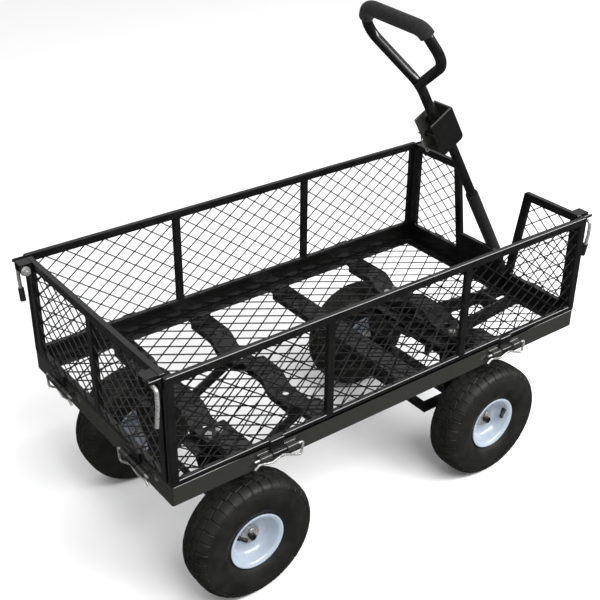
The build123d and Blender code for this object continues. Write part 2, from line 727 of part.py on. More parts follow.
def tongue():
    """Two flat arms that run together at the handle's pivot, with a tie between them."""
    z = (TONGUE_TOP - TONGUE_DEPTH, TONGUE_TOP)
    line = [
        (KINGPIN_X - TONGUE_OVERLAP, TONGUE_REAR_HALF),
        (PIVOT_X - TONGUE_STRAIGHT, TONGUE_FRONT_HALF),
        (PIVOT_X + TONGUE_END, TONGUE_FRONT_HALF),
    ]
    half = TONGUE_PLATE / 2
    arm = slab([(x, y - half) for x, y in line] + [(x, y + half) for x, y in line[::-1]], z)
    (rear_x, rear_y), (front_x, front_y) = line[:2]
    tie_x = PIVOT_X - TONGUE_TIE
    tie_y = front_y + (rear_y - front_y) * (front_x - tie_x) / (front_x - rear_x)
    tie = block((tie_x - half, tie_x + half), (-tie_y, tie_y), z)
    both = arm + mirror(arm, about=Plane.XZ) + tie
    out = TONGUE_FRONT_HALF + TONGUE_PLATE
    return both - across(PIVOT_X, PIVOT_Z, PIVOT_RADIUS + RUNNING_FIT, (-out, out))


def tyre_profile():
    """Half of the tyre's section is drawn and mirrored: a carcass that is open towards the rim."""
    bead = RIM_WIDTH / 2 - RIM_WALL - BED_FIT
    half = TYRE_WIDTH / 2
    lip = RIM_RADIUS + LIP_FLARE / 2
    shoulder = TYRE_RADIUS - SHOULDER_DROP
    middle = (lip + shoulder) / 2
    tread = TREAD_WIDTH / 2
    seat = SEAT_RADIUS + RUNNING_FIT
    crown = TYRE_RADIUS - CROWN_DROP
    inside = shoulder - TYRE_WALL / 2
    ceiling = TYRE_RADIUS - CROWN_WALL
    edges = [ThreePointArc((crown, 0, tread), (TYRE_RADIUS, 0, 0), (crown, 0, -tread))]
    edges.append(
        ThreePointArc(
            (inside, 0, half - SHOULDER_INSET - TYRE_WALL),
            (ceiling, 0, 0),
            (inside, 0, SHOULDER_INSET + TYRE_WALL - half),
        )
    )
    for side in (-1, 1):
        edges.append(Line((crown, 0, side * tread), (shoulder, 0, side * (half - SHOULDER_INSET))))
        edges.append(
            ThreePointArc(
                (shoulder, 0, side * (half - SHOULDER_INSET)), (middle, 0, side * half), (lip, 0, side * bead)
            )
        )
        edges.append(Line((lip, 0, side * bead), (seat, 0, side * bead)))
        edges.append(Line((seat, 0, side * bead), (seat, 0, side * (bead - TYRE_WALL))))
        edges.append(Line((seat, 0, side * (bead - TYRE_WALL)), (lip, 0, side * (bead - TYRE_WALL))))
        edges.append(
            ThreePointArc(
                (lip, 0, side * (bead - TYRE_WALL)),
                (middle, 0, side * (half - TYRE_WALL)),
                (inside, 0, side * (half - SHOULDER_INSET - TYRE_WALL)),
            )
        )
    return make_face(edges)


def rim_profile():
    """The barrel, its two lips and the disc that bends into the barrel on both sides."""
    half = RIM_WIDTH / 2
    web = RIM_WALL / 2
    start = HUB_RADIUS - RIM_WALL / 2
    bend_r = BARREL_INSIDE - DISC_BEND
    slant = DISC_BEND * sqrt(0.5)
    edges = [Line((start, 0, -web), (start, 0, web))]
    edges.append(Line((SEAT_RADIUS, 0, half - RIM_WALL), (SEAT_RADIUS, 0, RIM_WALL - half)))
    for side in (-1, 1):
        corner = (bend_r + slant, 0, side * (web + DISC_BEND - slant))
        edges.append(Line((start, 0, side * web), (bend_r, 0, side * web)))
        edges.append(
            ThreePointArc((bend_r, 0, side * web), corner, (BARREL_INSIDE, 0, side * (web + DISC_BEND)))
        )
        edges.append(
            Line((BARREL_INSIDE, 0, side * (web + DISC_BEND)), (BARREL_INSIDE, 0, side * (half - LIP_FLARE)))
        )
        edges.append(
            Line((BARREL_INSIDE, 0, side * (half - LIP_FLARE)), (BARREL_INSIDE + LIP_FLARE, 0, side * half))
        )
        edges.append(Line((BARREL_INSIDE + LIP_FLARE, 0, side * half), (RIM_RADIUS, 0, side * half)))
        edges.append(Line((RIM_RADIUS, 0, side * half), (RIM_RADIUS, 0, side * (half - RIM_WALL))))
        edges.append(
            Line((RIM_RADIUS, 0, side * (half - RIM_WALL)), (SEAT_RADIUS, 0, side * (half - RIM_WALL)))
        )
    return make_face(edges)


def valve(angle):
    """The rubber valve on the inside of the barrel, which leans outwards on its way to the hub."""
    lean = radians(VALVE_TILT)
    along = Vector(-cos(lean), 0, sin(lean))
    seat = Vector(BARREL_INSIDE, 0, VALVE_OFFSET)
    shoulder = seat + along * VALVE_BASE
    base = bar(seat - along * VALVE_RADIUS, shoulder, VALVE_RADIUS)
    stem = bar(shoulder, shoulder + along * VALVE_STEM, VALVE_STEM_RADIUS)
    room = bar((0, 0, 0), (0, 0, TYRE_WIDTH / 2), BARREL_INSIDE - RUNNING_FIT)
    return Rot(0, 0, angle) * ((base + stem) & room)


def make_wheels():
    """Four alike wheels, whose outer faces lie flush with the sides of the bed."""
    carcass = revolve(tyre_profile(), axis=Axis.Z)
    hub = bar((0, 0, -HUB_INNER), (0, 0, HUB_OUTER), HUB_RADIUS)
    bore = bar((0, 0, -HUB_INNER), (0, 0, HUB_OUTER), BEARING_RADIUS + RUNNING_FIT)
    rim = revolve(rim_profile(), axis=Axis.Z) + hub - bore
    seats = ((-HUB_INNER, BEARING_LENGTH - HUB_INNER), (HUB_OUTER - BEARING_LENGTH, HUB_OUTER))
    bearings = []
    for low, high in seats:
        outer = bar((0, 0, low), (0, 0, high), BEARING_RADIUS)
        bearings.append(outer - bar((0, 0, low), (0, 0, high), AXLE_RADIUS + RUNNING_FIT))
    for end, x in AXLES.items():
        for name, side in SIDES.items():
            wheel = f"{end}_{name}"
            place = Pos(x, side * WHEEL_Y, AXLE_Z) * Rot(-90 * side, 0, 0)
            add(f"{wheel}_tyre", place * carcass, place * valve(VALVE_ANGLES[wheel]))
            add(f"{wheel}_rim", place * rim)
            add(f"{wheel}_bearings", *[place * bearing for bearing in bearings])


def gate_frame(outline, bays):
    """Welded rectangular tube round the bays of a gate, hollow inside."""
    wall = TUBE_WALL
    frame = plate(outline, (0, TUBE_DEPTH), bays)
    corners = frame.edges().filter_by(Axis.Y).group_by(Axis.Z)[-1]
    frame = fillet(corners, TOP_CORNER)
    inner = inset(outline, [wall] * len(outline))
    wide_bays = [inset(bay, [-wall] * len(bay)) for bay in bays]
    return frame - plate(inner, (wall, TUBE_DEPTH - wall), wide_bays)


def gate_net(bays, start):
    """The flat nets that fill the bays of a gate, on one lattice."""
    low = BED_FIT + BASE_RAIL
    middle = TUBE_DEPTH / 2
    y = (middle - NET_DEPTH / 2, middle + NET_DEPTH / 2)
    cell = (CELL_WIDTH, CELL_HEIGHT)
    return [plate(bay, y, gaps(bay, cell, (start, low))) for bay in bays]


def keeper(side):
    """The hooked plate at a side gate's end that lies over the latch rod of the end gate."""
    x_end = BED_LENGTH / 2
    rod_top = LATCH_Z + LATCH_ROD
    roof = rod_top + KEEPER_CLEAR
    post = LATCH_OUT - LATCH_ROD - KEEPER_CLEAR
    outline = [
        (x_end, LATCH_Z - LATCH_EAR),
        (x_end + post, LATCH_Z - LATCH_EAR),
        (x_end + post, roof),
        (x_end + KEEPER_REACH, roof),
        (x_end + KEEPER_REACH, roof + KEEPER_ROOF),
        (x_end, roof + KEEPER_ROOF),
    ]
    if side < 0:
        outline = [(-x, z) for x, z in outline[::-1]]
    return plate(outline, (KEEPER_INSET, KEEPER_INSET + KEEPER_PLATE))


def make_side_gates():
    """The two long gates, each with three bays, two hinges and a keeper at both ends."""
    half = BED_LENGTH / 2
    z = (BED_FIT, BED_FIT + GATE_HEIGHT)
    bay_z = (z[0] + BASE_RAIL, z[1] - TUBE_FACE)
    bar_in, bar_out = SIDE_BAR_X - TUBE_FACE / 2, SIDE_BAR_X + TUBE_FACE / 2
    spans = ((TUBE_FACE - half, -bar_out), (-bar_in, bar_in), (bar_out, half - TUBE_FACE))
    bays = [rectangle(span, bay_z) for span in spans]
    frame = gate_frame(rectangle((-half, half), z), bays)
    fittings = [Pos(place, 0, 0) * gate_knuckle() for place in HINGES["right"]]
    solids = [frame + fittings, keeper(-1), keeper(1)]
    nets = gate_net(bays, CELL_WIDTH / 4)
    for name in SIDES:
        add(f"{name}_side_frame", *[EDGES[name] * solid for solid in solids])
        add(f"{name}_side_mesh", *[EDGES[name] * net for net in nets])


def latch_bracket(side):
    """A bent plate on an end gate whose two round ears carry the latch rod."""
    outer = END_HALF - LATCH_EDGE
    inner = outer - LATCH_BRACKET
    x = sorted((side * inner, side * outer))
    top = BED_FIT + GATE_HEIGHT - LATCH_EDGE
    reach = LATCH_OUT + LATCH_EAR
    roof = block(x, (-reach, WELD_SINK), (top - LATCH_PLATE, top))
    ears = []
    for ear_in in (inner, outer - LATCH_PLATE):
        ear_x = sorted((side * ear_in, side * (ear_in + LATCH_PLATE)))
        start, end = (ear_x[0], -LATCH_OUT, LATCH_Z), (ear_x[1], -LATCH_OUT, LATCH_Z)
        ears.append(block(ear_x, (-reach, WELD_SINK), (LATCH_Z, top)))
        ears.append(block(ear_x, (-LATCH_OUT, WELD_SINK), (LATCH_Z - LATCH_EAR, LATCH_Z)))
        ears.append(bar(start, end, LATCH_EAR))
    start, end = (x[0], -LATCH_OUT, LATCH_Z), (x[1], -LATCH_OUT, LATCH_Z)
    return roof + ears - bar(start, end, LATCH_ROD + RUNNING_FIT)


def latch_lever(side):
    """The bent rod of a latch, with the washer and nut on its inner end."""
    inner = END_HALF - LATCH_EDGE - LATCH_BRACKET
    rod_in = inner - LATCH_WASHER - NUT_HEIGHT - LATCH_ROD
    points = [
        (rod_in, -LATCH_OUT, LATCH_Z),
        (LEVER_X, -LATCH_OUT, LATCH_Z),
        (LEVER_X, -LATCH_OUT, LATCH_Z - LEVER_STRAIGHT),
        (LEVER_X - LEVER_KINK, -LATCH_OUT, LATCH_Z - LEVER_LENGTH),
    ]
    rod = tube(points, (LATCH_BEND, LATCH_BEND), LATCH_ROD)
    bore = bar((rod_in, -LATCH_OUT, LATCH_Z), (inner, -LATCH_OUT, LATCH_Z), LATCH_ROD + RUNNING_FIT)
    seat = Plane(origin=(inner, -LATCH_OUT, LATCH_Z), z_dir=(-1, 0, 0))
    washer = seat * Cylinder(LATCH_WASHER_RADIUS, LATCH_WASHER, align=(Align.CENTER, Align.CENTER, Align.MIN))
    nut = seat * Pos(0, 0, LATCH_WASHER) * hexagon(NUT_ACROSS, NUT_HEIGHT)
    solids = [rod, washer - bore, nut - bore]
    return solids if side > 0 else [mirror(solid, about=Plane.YZ) for solid in solids]


def lever_tip(side):
    """The dipped sleeve on the end of a latch lever."""
    top = Vector(LEVER_X, -LATCH_OUT, LATCH_Z - LEVER_STRAIGHT)
    end = Vector(LEVER_X - LEVER_KINK, -LATCH_OUT, LATCH_Z - LEVER_LENGTH)
    along = (end - top).normalized()
    start = end - along * (TIP_LENGTH - TIP_END)
    outer = bar(start, end + along * TIP_END, LATCH_ROD + RUNNING_FIT + TIP_WALL)
    tip = outer - bar(start, end + along * RUNNING_FIT, LATCH_ROD + RUNNING_FIT)
    return tip if side > 0 else mirror(tip, about=Plane.YZ)


def make_latches():
    """Four latches on the corners of the end gates; the bare one has no sleeve."""
    for end, turn in (("rear", -1), ("front", 1)):
        for name, side in SIDES.items():
            latch = f"{end}_{name}"
            add(f"{latch}_latch_lever", *[EDGES[end] * solid for solid in latch_lever(side * turn)])
            if latch in TIPPED_LEVERS:
                add(f"{latch}_latch_tip", EDGES[end] * lever_tip(side * turn))


def make_rear_gate():
    """The rear gate between the side gates, with two bays, two hinges and two latch brackets."""
    z = (BED_FIT, BED_FIT + GATE_HEIGHT)
    bay_z = (z[0] + BASE_RAIL, z[1] - TUBE_FACE)
    half_bar = TUBE_FACE / 2
    spans = ((TUBE_FACE - END_HALF, -half_bar), (half_bar, END_HALF - TUBE_FACE))
    bays = [rectangle(span, bay_z) for span in spans]
    frame = gate_frame(rectangle((-END_HALF, END_HALF), z), bays)
    fittings = [Pos(place, 0, 0) * gate_knuckle() for place in HINGES["rear"]]
    fittings += [latch_bracket(-1), latch_bracket(1)]
    add("rear_gate_frame", EDGES["rear"] * (frame + fittings))
    add("rear_gate_mesh", *[EDGES["rear"] * net for net in gate_net(bays, 0)])


def make_front_gates():
    """The two front gates, whose slanted inner posts leave the notch for the handle."""
    z = (BED_FIT, BED_FIT + GATE_HEIGHT)
    widths = (BASE_RAIL, TUBE_FACE, TUBE_FACE, TUBE_FACE)
    for name, side in SIDES.items():
        outline = [(NOTCH_LOW, z[0]), (END_HALF, z[0]), (END_HALF, z[1]), (NOTCH_TOP, z[1])]
        if side < 0:
            outline = [(-x, height) for x, height in (outline[1], outline[0], outline[3], outline[2])]
        bay = inset(outline, widths)
        fittings = [Pos(side * FRONT_HINGE, 0, 0) * gate_knuckle(), latch_bracket(side)]
        frame = gate_frame(outline, [bay]) + fittings
        add(f"front_{name}_gate_frame", EDGES["front"] * frame)
        add(f"front_{name}_gate_mesh", *[EDGES["front"] * net for net in gate_net([bay], 0)])


def lock_pin(turn):
    """A hinge pin of bent wire whose free arm springs back under the knuckles."""
    low = -KNUCKLE_RADIUS - LOCK_WIRE - KNUCKLE_GAP
    end = LOCK_HALF + LOCK_WIRE
    wave = low - LOCK_WAVE
    route = [
        (-LOCK_HALF, 0),
        (end, 0),
        (end - LOCK_SLANT, -LOCK_DROP),
        (LOCK_CRESTS[0], low),
        (LOCK_TROUGH, wave),
        (LOCK_CRESTS[1], low),
        (-LOCK_HALF, wave),
    ]
    points = [(turn * x, -HINGE_OUT, z - HINGE_DROP) for x, z in route]
    return tube(points, LOCK_BEND, LOCK_WIRE)


def make_lock_pins():
    """The eight wire pins that hold the gates in their hinges."""
    pins = []
    for edge, places in HINGES.items():
        for place in places:
            pins.append(EDGES[edge] * Pos(place, 0, 0) * lock_pin(LOCK_TURN[edge]))
    add("hinge_lock_pins", *pins)


def make_handle_rest():
    """The fixed bar in the front notch that the parked handle leans on, on a footed plate."""
    bar_y = (-REST_HALF, REST_HALF)
    rail = block((REST_BACK, REST_FRONT), bar_y, (REST_TOP - TUBE_FACE, REST_TOP))
    foot_top = FLOOR_BOTTOM + REST_PLATE
    web = block((REST_BACK, REST_BACK + REST_PLATE), bar_y, (FLOOR_BOTTOM, REST_TOP - TUBE_FACE / 2))
    foot = block((REST_BACK, REST_BACK + REST_FOOT), bar_y, (FLOOR_BOTTOM, foot_top))
    holes = [bolt_hole(REST_BOLT_X, side * REST_BOLT_Y, REST_BOLT_RADIUS) for side in (-1, 1)]
    add("handle_rest", rail + web + foot - holes)
    bolts = []
    for side in (-1, 1):
        place = (REST_BOLT_X, side * REST_BOLT_Y)
        bolts.append(bolt(*place, REST_BOLT_RADIUS, REST_BOLT_ACROSS, foot_top, BED_BOTTOM))
    add("handle_rest_bolts", *bolts)


def make_handle():
    """The pull handle from its pivot eye up to the tow bracket, in the handle's own frame."""
    eye_half = TONGUE_INSIDE - BED_FIT
    eye = across(0, 0, PIVOT_RADIUS + RUNNING_FIT + EYE_WALL, (-eye_half, eye_half))
    pole = bar((0, 0, 0), (0, 0, HANDLE_LENGTH), HANDLE_RADIUS)
    hollow = bar((0, 0, HANDLE_RADIUS + EYE_WALL), (0, 0, HANDLE_LENGTH), HANDLE_RADIUS - HANDLE_WALL)
    bore = across(0, 0, PIVOT_RADIUS + RUNNING_FIT, (-eye_half, eye_half))
    sleeve = bar((0, 0, SLEEVE_START), (0, 0, SLEEVE_END), SLEEVE_RADIUS)
    sleeve -= bar((0, 0, SLEEVE_START), (0, 0, SLEEVE_END), HANDLE_RADIUS + RUNNING_FIT)
    add("handle_tube", HANDLE * (eye + pole - hollow - bore))
    add("handle_sleeve", HANDLE * sleeve)
    add("tow_bracket", HANDLE * tow_bracket())


def tow_bracket():
    """A folded box, open to the rear and the top, that also takes a tow bar behind its pin."""
    half = BRACKET_WIDTH / 2
    wall = BRACKET_WALL
    top = HANDLE_LENGTH + BRACKET_LENGTH
    outer = block((-BRACKET_REAR, BRACKET_FRONT), (-half, half), (HANDLE_LENGTH, top))
    edges = outer.edges().filter_by(Axis.Y).group_by(Axis.Z)[0]
    outer = fillet(edges, BRACKET_ROUND)
    inner = block(
        (-BRACKET_REAR, BRACKET_FRONT - wall), (wall - half, half - wall), (HANDLE_LENGTH + wall, top)
    )
    y = (-half, half)
    grip_hole = across(-GRIP_BACK, GRIP_PIVOT, GRIP_BOLT_RADIUS + RUNNING_FIT, y)
    hitch_hole = across(-HITCH_BACK, HANDLE_LENGTH + HITCH_UP, HITCH_RADIUS + RUNNING_FIT, y)
    return outer - inner - grip_hole - hitch_hole


def make_handle_pins():
    """The grip's bolt with its two collars, and the hitch pin with its hair-pin clip."""
    half = BRACKET_WIDTH / 2
    radius = GRIP_BOLT_RADIUS
    inner = radius + RUNNING_FIT
    collars = []
    for side in (-1, 1):
        collar_y = sorted((side * (HANDLE_RADIUS + BED_FIT), side * (half - BRACKET_WALL)))
        collars.append(ring(-GRIP_BACK, GRIP_PIVOT, inner + GRIP_COLLAR_WALL, inner, collar_y))
    shank = across(-GRIP_BACK, GRIP_PIVOT, radius, (-half, half))
    head = across(-GRIP_BACK, GRIP_PIVOT, GRIP_HEAD_RADIUS, (half, half + GRIP_BOLT_HEAD))
    add("grip_pivot_bolt", *[HANDLE * solid for solid in [shank + head, *collars]])
    x, z = -HITCH_BACK, HANDLE_LENGTH + HITCH_UP
    clip_y = half + HITCH_TAIL / 2
    pin = across(x, z, HITCH_RADIUS, (-half, half + HITCH_TAIL))
    inside = BRACKET_WALL - half
    pin += across(x, z, HITCH_SHOULDER_RADIUS, (inside, inside + HITCH_SHOULDER))
    hole = bar((x, clip_y, z - 2 * HITCH_RADIUS), (x, clip_y, z + 2 * HITCH_RADIUS), CLIP_WIRE + RUNNING_FIT)
    add("hitch_pin", HANDLE * (pin - hole))
    add("hitch_pin_clip", HANDLE * Pos(x, clip_y, z) * hair_pin())


def hair_pin():
    """A wire clip: a straight leg through the pin and a waved leg that hugs it from outside."""
    hug = HITCH_RADIUS + CLIP_WIRE + BED_FIT
    points = [
        (0, 0, CLIP_TOP),
        (0, 0, -CLIP_LEG),
        (-CLIP_GAP, 0, -CLIP_LEG),
        (-CLIP_GAP, 0, -CLIP_GAP),
        (-hug, 0, 0),
        (-CLIP_GAP, 0, CLIP_TOP),
    ]
    return tube(points, (CLIP_BEND, CLIP_BEND, CLIP_WAVE, CLIP_WAVE), CLIP_WIRE)


def make_grip():
    """The folding D-grip: one bent tube whose end is welded back to its stem, with a foam sleeve."""
    def at(y, up):
        return Vector(-GRIP_BACK, y, GRIP_PIVOT + GRIP_STEM + up)

    fork = at(0, 0)
    left, right = at(*GRIP_LEFT), at(*GRIP_RIGHT)
    bar_left, bar_right = at(*GRIP_BAR_LEFT), at(*GRIP_BAR_RIGHT)
    half_way = (right + fork) / 2
    points = [at(0, -GRIP_STEM - GRIP_HEEL), fork, left, bar_left, bar_right, right, half_way]
    bends = (FORK_BEND, CORNER_BEND, BAR_BEND, BAR_BEND, CORNER_BEND)
    inside = HANDLE_RADIUS - HANDLE_WALL
    outer = tube(points, bends, HANDLE_RADIUS) + bar(half_way, fork, HANDLE_RADIUS)
    hollow = tube(points, bends, inside) + bar(half_way, fork, inside)
    half = BRACKET_WIDTH / 2
    hole = across(-GRIP_BACK, GRIP_PIVOT, GRIP_BOLT_RADIUS + RUNNING_FIT, (-half, half))
    boss = across(-GRIP_BACK, GRIP_PIVOT, GRIP_BOLT_RADIUS + RUNNING_FIT + HANDLE_WALL, (-inside, inside))
    add("grip_frame", HANDLE * (outer - hollow + boss - hole))
    foam_left = bar_left + (left - bar_left).normalized() * FOAM_LEFT
    foam_right = bar_right + (right - bar_right).normalized() * FOAM_RIGHT
    foam_points = [foam_left, bar_left, bar_right, foam_right]
    foam_inside = HANDLE_RADIUS + RUNNING_FIT
    add("grip_foam", HANDLE * tube(foam_points, BAR_BEND, foam_inside + FOAM_WALL, foam_inside))


def save():
    """Writes every piece, with the origin on the ground under the middle of the whole cart."""
    os.makedirs("parts", exist_ok=True)
    boxes = [solid.bounding_box() for solids in pieces.values() for solid in solids]
    middle = (min(box.min.X for box in boxes) + max(box.max.X for box in boxes)) / 2
    for name, solids in pieces.items():
        export_step(Pos(-middle, 0, 0) * Compound(solids), f"parts/{name}.step")
    print(len(pieces), "nodes; bed middle at X =", round(-middle, 3))


make_bed_frame()
make_floor()
make_crossmembers()
make_rear_brackets()
for axle_name, axle_x in AXLES.items():
    make_axle(axle_name, axle_x)
make_bolts()
make_turntable()
make_front_carriage()
make_wheels()
make_side_gates()
make_rear_gate()
make_front_gates()
make_latches()
make_lock_pins()
make_handle_rest()
make_handle()
make_handle_pins()
make_grip()
save()
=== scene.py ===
"""Dresses a four-wheel hand cart: wire nets, tyres, rims, foam, finishes and a pale studio."""

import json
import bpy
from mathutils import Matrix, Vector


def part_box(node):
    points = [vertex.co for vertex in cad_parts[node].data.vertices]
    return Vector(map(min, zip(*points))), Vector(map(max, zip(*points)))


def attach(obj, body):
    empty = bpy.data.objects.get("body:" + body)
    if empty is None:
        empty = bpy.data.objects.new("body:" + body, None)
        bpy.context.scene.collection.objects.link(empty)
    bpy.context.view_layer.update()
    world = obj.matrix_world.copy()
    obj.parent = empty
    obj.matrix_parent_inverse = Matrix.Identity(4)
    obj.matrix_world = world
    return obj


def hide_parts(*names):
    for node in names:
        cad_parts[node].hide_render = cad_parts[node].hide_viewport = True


bl_info = {
    "name": "Hand cart dressing",
    "version": (1, 0, 0),
    "blender": (4, 5, 0),
    "location": "View3D > Sidebar > Cart",
    "description": "Builds the visible pieces and the finishes of a four-wheel hand cart on its frame",
    "category": "Object",
}

from math import cos, hypot, pi, radians, sin, tan

import bmesh
import bpy
from bpy.props import FloatProperty, FloatVectorProperty, IntProperty, PointerProperty
from mathutils import Matrix, Vector

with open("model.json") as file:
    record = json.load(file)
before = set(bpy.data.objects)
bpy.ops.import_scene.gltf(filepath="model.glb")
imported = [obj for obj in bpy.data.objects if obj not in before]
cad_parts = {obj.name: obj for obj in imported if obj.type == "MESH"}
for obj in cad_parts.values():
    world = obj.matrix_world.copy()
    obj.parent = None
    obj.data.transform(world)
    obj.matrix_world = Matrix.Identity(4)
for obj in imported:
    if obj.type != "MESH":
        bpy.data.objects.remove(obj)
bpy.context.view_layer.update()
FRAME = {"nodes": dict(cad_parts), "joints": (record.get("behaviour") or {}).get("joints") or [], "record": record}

MM = 0.001
TOUCHING = 0.01 * MM  # points closer than this are one

# Bed and gates
BED_LOW, BED_HIGH = (Vector(corner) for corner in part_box("bed_frame"))
BED_X = (BED_LOW.x + BED_HIGH.x) / 2
BED_LENGTH = 965 * MM
BED_WIDTH = 508 * MM
RAIL_TOP = BED_HIGH.z
TUBE_DEPTH = 10 * MM
TUBE_FACE = 16 * MM
GATE_HEIGHT = 210 * MM
SIDE_POST = 160.5 * MM  # from the middle of a side gate to an inner post
END_HALF = 238 * MM  # half the width of the rear gate, and of both front gates together
NOTCH_LOW = 66 * MM  # half the gap between the front gates at the rail
NOTCH_TOP = 96.5 * MM  # half the gap between the front gates at their tops
REST_NOTCH = 460.2 * MM  # from the bed's middle to the floor's notch round the handle's rest
REST_HALF = 64 * MM  # half the width of that notch

# Wires of the nets
NET_LOW = 10.3 * MM  # lower edge of a gate's net above the rail
NET_TOP = 194.3 * MM  # upper edge of a gate's net above the rail
WIRE_BITE = 3 * MM  # how far a wire runs into the tubes
NET_HEIGHTS = (NET_LOW - WIRE_BITE, NET_TOP + WIRE_BITE)
LAYER_OFFSET = 0.9  # from the net's middle to each layer of wires, in wire radii
SHORTEST_WIRE = 2 * MM
FAR = 10.0  # further than any wire reaches, in metres
PARALLEL = 1e-12  # a line that nears a side more slowly than this runs beside it

# Wheels: sections as (radius, height along the axle[, rounding]) in millimetres
WHEELS = ("front_left", "front_right", "rear_left", "rear_right")
RIM_SECTION = (
    (57.0, 32.0, 0.8), (57.0, 29.5, 0.6), (50.0, 29.5, 1.5), (50.0, -29.5, 1.5), (57.0, -29.5, 0.6),
    (57.0, -32.0, 0.8), (51.5, -32.0, 2.5), (47.5, -28.0, 3.0), (47.5, -1.25, 12.0), (17.0, -1.25, 2.0),
    (17.0, -25.0, 1.0), (10.1, -25.0, 0.5), (10.1, 5.0, 0.5), (17.5, 5.0, 1.0), (21.5, 3.8, 3.0),
    (31.0, 1.6, 6.0), (42.5, 5.0, 12.0), (48.5, 28.5, 3.0), (54.4, 32.0, 1.0),
)
CARCASS_OUTSIDE = (
    (50.2, 29.0), (59.5, 29.2), (63.8, 32.4), (66.0, 34.4), (72.0, 37.2), (78.0, 39.0), (86.0, 40.0),
    (94.0, 39.7), (99.0, 39.2), (104.0, 38.3), (109.0, 36.7), (114.4, 34.0), (118.8, 29.6), (121.4, 22.0),
    (122.6, 13.0), (122.9, 0.0),
)
CARCASS_INSIDE = ((50.2, 22.0), (59.0, 22.0), (86.5, 33.0), (110.0, 27.0), (113.0, 0.0))
SHOULDER_LUG = (
    (119.5, 15.5), (124.2, 15.0), (122.9, 23.5), (119.6, 30.4), (115.4, 34.8), (110.8, 37.0), (110.0, 33.5),
)
MIDDLE_BLOCK = ((119.5, 1.0), (124.5, 1.0), (124.3, 13.4), (119.5, 13.4))
TREAD_ROWS = ((SHOULDER_LUG, 0, 0), (MIDDLE_BLOCK, 14, 0.25))  # section, turn in degrees, shift in pitches
TREAD_SIDES = ((1, 0), (-1, 0.5))  # side of the tyre, shift in pitches
LUG_EDGE = 0.9 * MM
VALVE_OUTLINE = (
    (0.0, -0.4), (4.9, -0.4), (4.9, 8.0), (4.5, 10.4), (3.4, 11.4), (3.2, 13.0), (3.9, 13.4), (3.9, 24.0),
    (3.2, 25.0), (0.0, 25.0),
)
VALVE_SEAT = (46.6 * MM, 0, 18.25 * MM)  # the valve's foot in the wheel's frame, at angle 0
VALVE_ANGLES = {"front_right": 11, "front_left": 140, "rear_right": 150, "rear_left": 35}
VALVE_TILT = 30.0  # degrees outwards from the line to the hub
VALVE_STEPS = 20

# Handle, in its own frame
HANDLE_LEAN = 30.0  # degrees that the parked handle leans back
BRACKET_WIDTH = 50 * MM
BRACKET_FRONT = 19 * MM  # from the handle's middle to the outer face of the bracket's web
BRACKET_REACH = 100 * MM  # half the depth of a box that takes in all of the bracket behind its web
GRIP_PATH = ((-13, 80.99, 806.01), (-13, 62, 833), (-13, -81, 821), (-13, -85.84, 806.3))  # millimetres
GRIP_BENDS = (30 * MM, 22 * MM)
GRIP_RADIUS = 14.6 * MM
GRIP_ROUNDING = 3 * MM
SLEEVE_SPAN = (150 * MM, 343 * MM)
SLEEVE_RADIUS = 13.5 * MM
SLEEVE_ROUNDING = 1.6 * MM
FOAM_CREASE = 60.0  # degrees

# Width of the softened edges of the steel, in millimetres
EDGE_WIDTHS = {
    "bed_frame": 1.4, "dropped_crossmembers": 1.2, "plain_crossmember": 1.2, "rear_axle_brackets": 1.0,
    "rear_axle_braces": 1.0, "turntable_plate": 1.0, "steering_plate": 1.0, "front_axle_carrier": 1.0,
    "tongue": 1.2, "handle_rest": 1.2, "tow_bracket": 1.2, "left_side_frame": 2.2, "right_side_frame": 2.2,
    "rear_gate_frame": 2.2, "front_left_gate_frame": 2.2, "front_right_gate_frame": 2.2,
}
EDGE_ANGLE = 40.0  # faces that meet at more degrees than this make an edge
# Pieces whose small steps hold the softening back
FINE_EDGED = (
    "rear_gate_frame", "front_left_gate_frame", "front_right_gate_frame", "front_axle_carrier",
)

# Pieces whose coat has painted light: a paler shade that stands for the lamps' light on the bed's outer faces and
# inside the tow bracket
PAINTED_LIGHT_COATS = {"bed_frame": "rail_painted_light_coat", "tow_bracket": "bracket_painted_light_coat"}
PAINTED_LIGHT_DEPTH = 1.5 * MM  # from an outer face to where the painted light changes over
PAINTED_LIGHT_BLEND = 0.5 * MM  # half the stretch over which the painted light and the plain coat meet
BRACKET_PAINTED_LIGHT = 2.2  # strength of the painted light inside the bracket, against that on the bed's outer faces
SLEEVE_DARKNESS = 0.45  # the handle's sleeve against the grip
RUBBER_WEAR = (1.6, 1.55, 1.4)  # the palest patches against the tyres' colour, by channel
FLOOR_DARKNESS = 0.985  # the floor's darkest patches against its colour
NOISE_LOW, NOISE_HIGH = 0.3, 0.7  # nearly all of a noise lies between these

# Stage, in metres and degrees
FLOOR_HALF = 30.0
GROUND_HEIGHT, ZENITH_HEIGHT = 0.48, 1.0  # where the sky begins and ends, from straight down to straight up
LAMPS = {  # size, place, turn about X and Y
    "key_lamp": ((1.6, 1.6), (-0.6, -2.0, 3.0), (36, -12)),
    "strip_lamp": ((3.4, 0.9), (1.95, -2.1, 2.6), (41, 0)),
}
CAMERA_AZIMUTH, CAMERA_ELEVATION, CAMERA_ROLL = -37.21, 29.81, 0.57
CAMERA_TARGET = Vector((BED_X - 9.17 * MM, 35.98 * MM, 395.81 * MM))
CAMERA_DISTANCE = 2100.74 * MM
SENSOR_WIDTH = 36  # millimetres


class NetSizes(bpy.types.PropertyGroup):
    """Wires of the gates and the floor."""

    gate_wire: FloatProperty(
        name="Gate wire", description="Radius of the wires in the gates", default=1.2 * MM, unit="LENGTH"
    )
    gate_cell: FloatVectorProperty(
        name="Gate cell", description="Length and height of a diamond in the gates", size=2,
        default=(41 * MM, 30.7 * MM), unit="LENGTH",
    )
    floor_wire: FloatProperty(
        name="Floor wire", description="Radius of the wires in the floor", default=1.4 * MM, unit="LENGTH"
    )
    floor_cell: FloatVectorProperty(
        name="Floor cell", description="Length and width of a diamond in the floor", size=2,
        default=(51 * MM, 36 * MM), unit="LENGTH",
    )


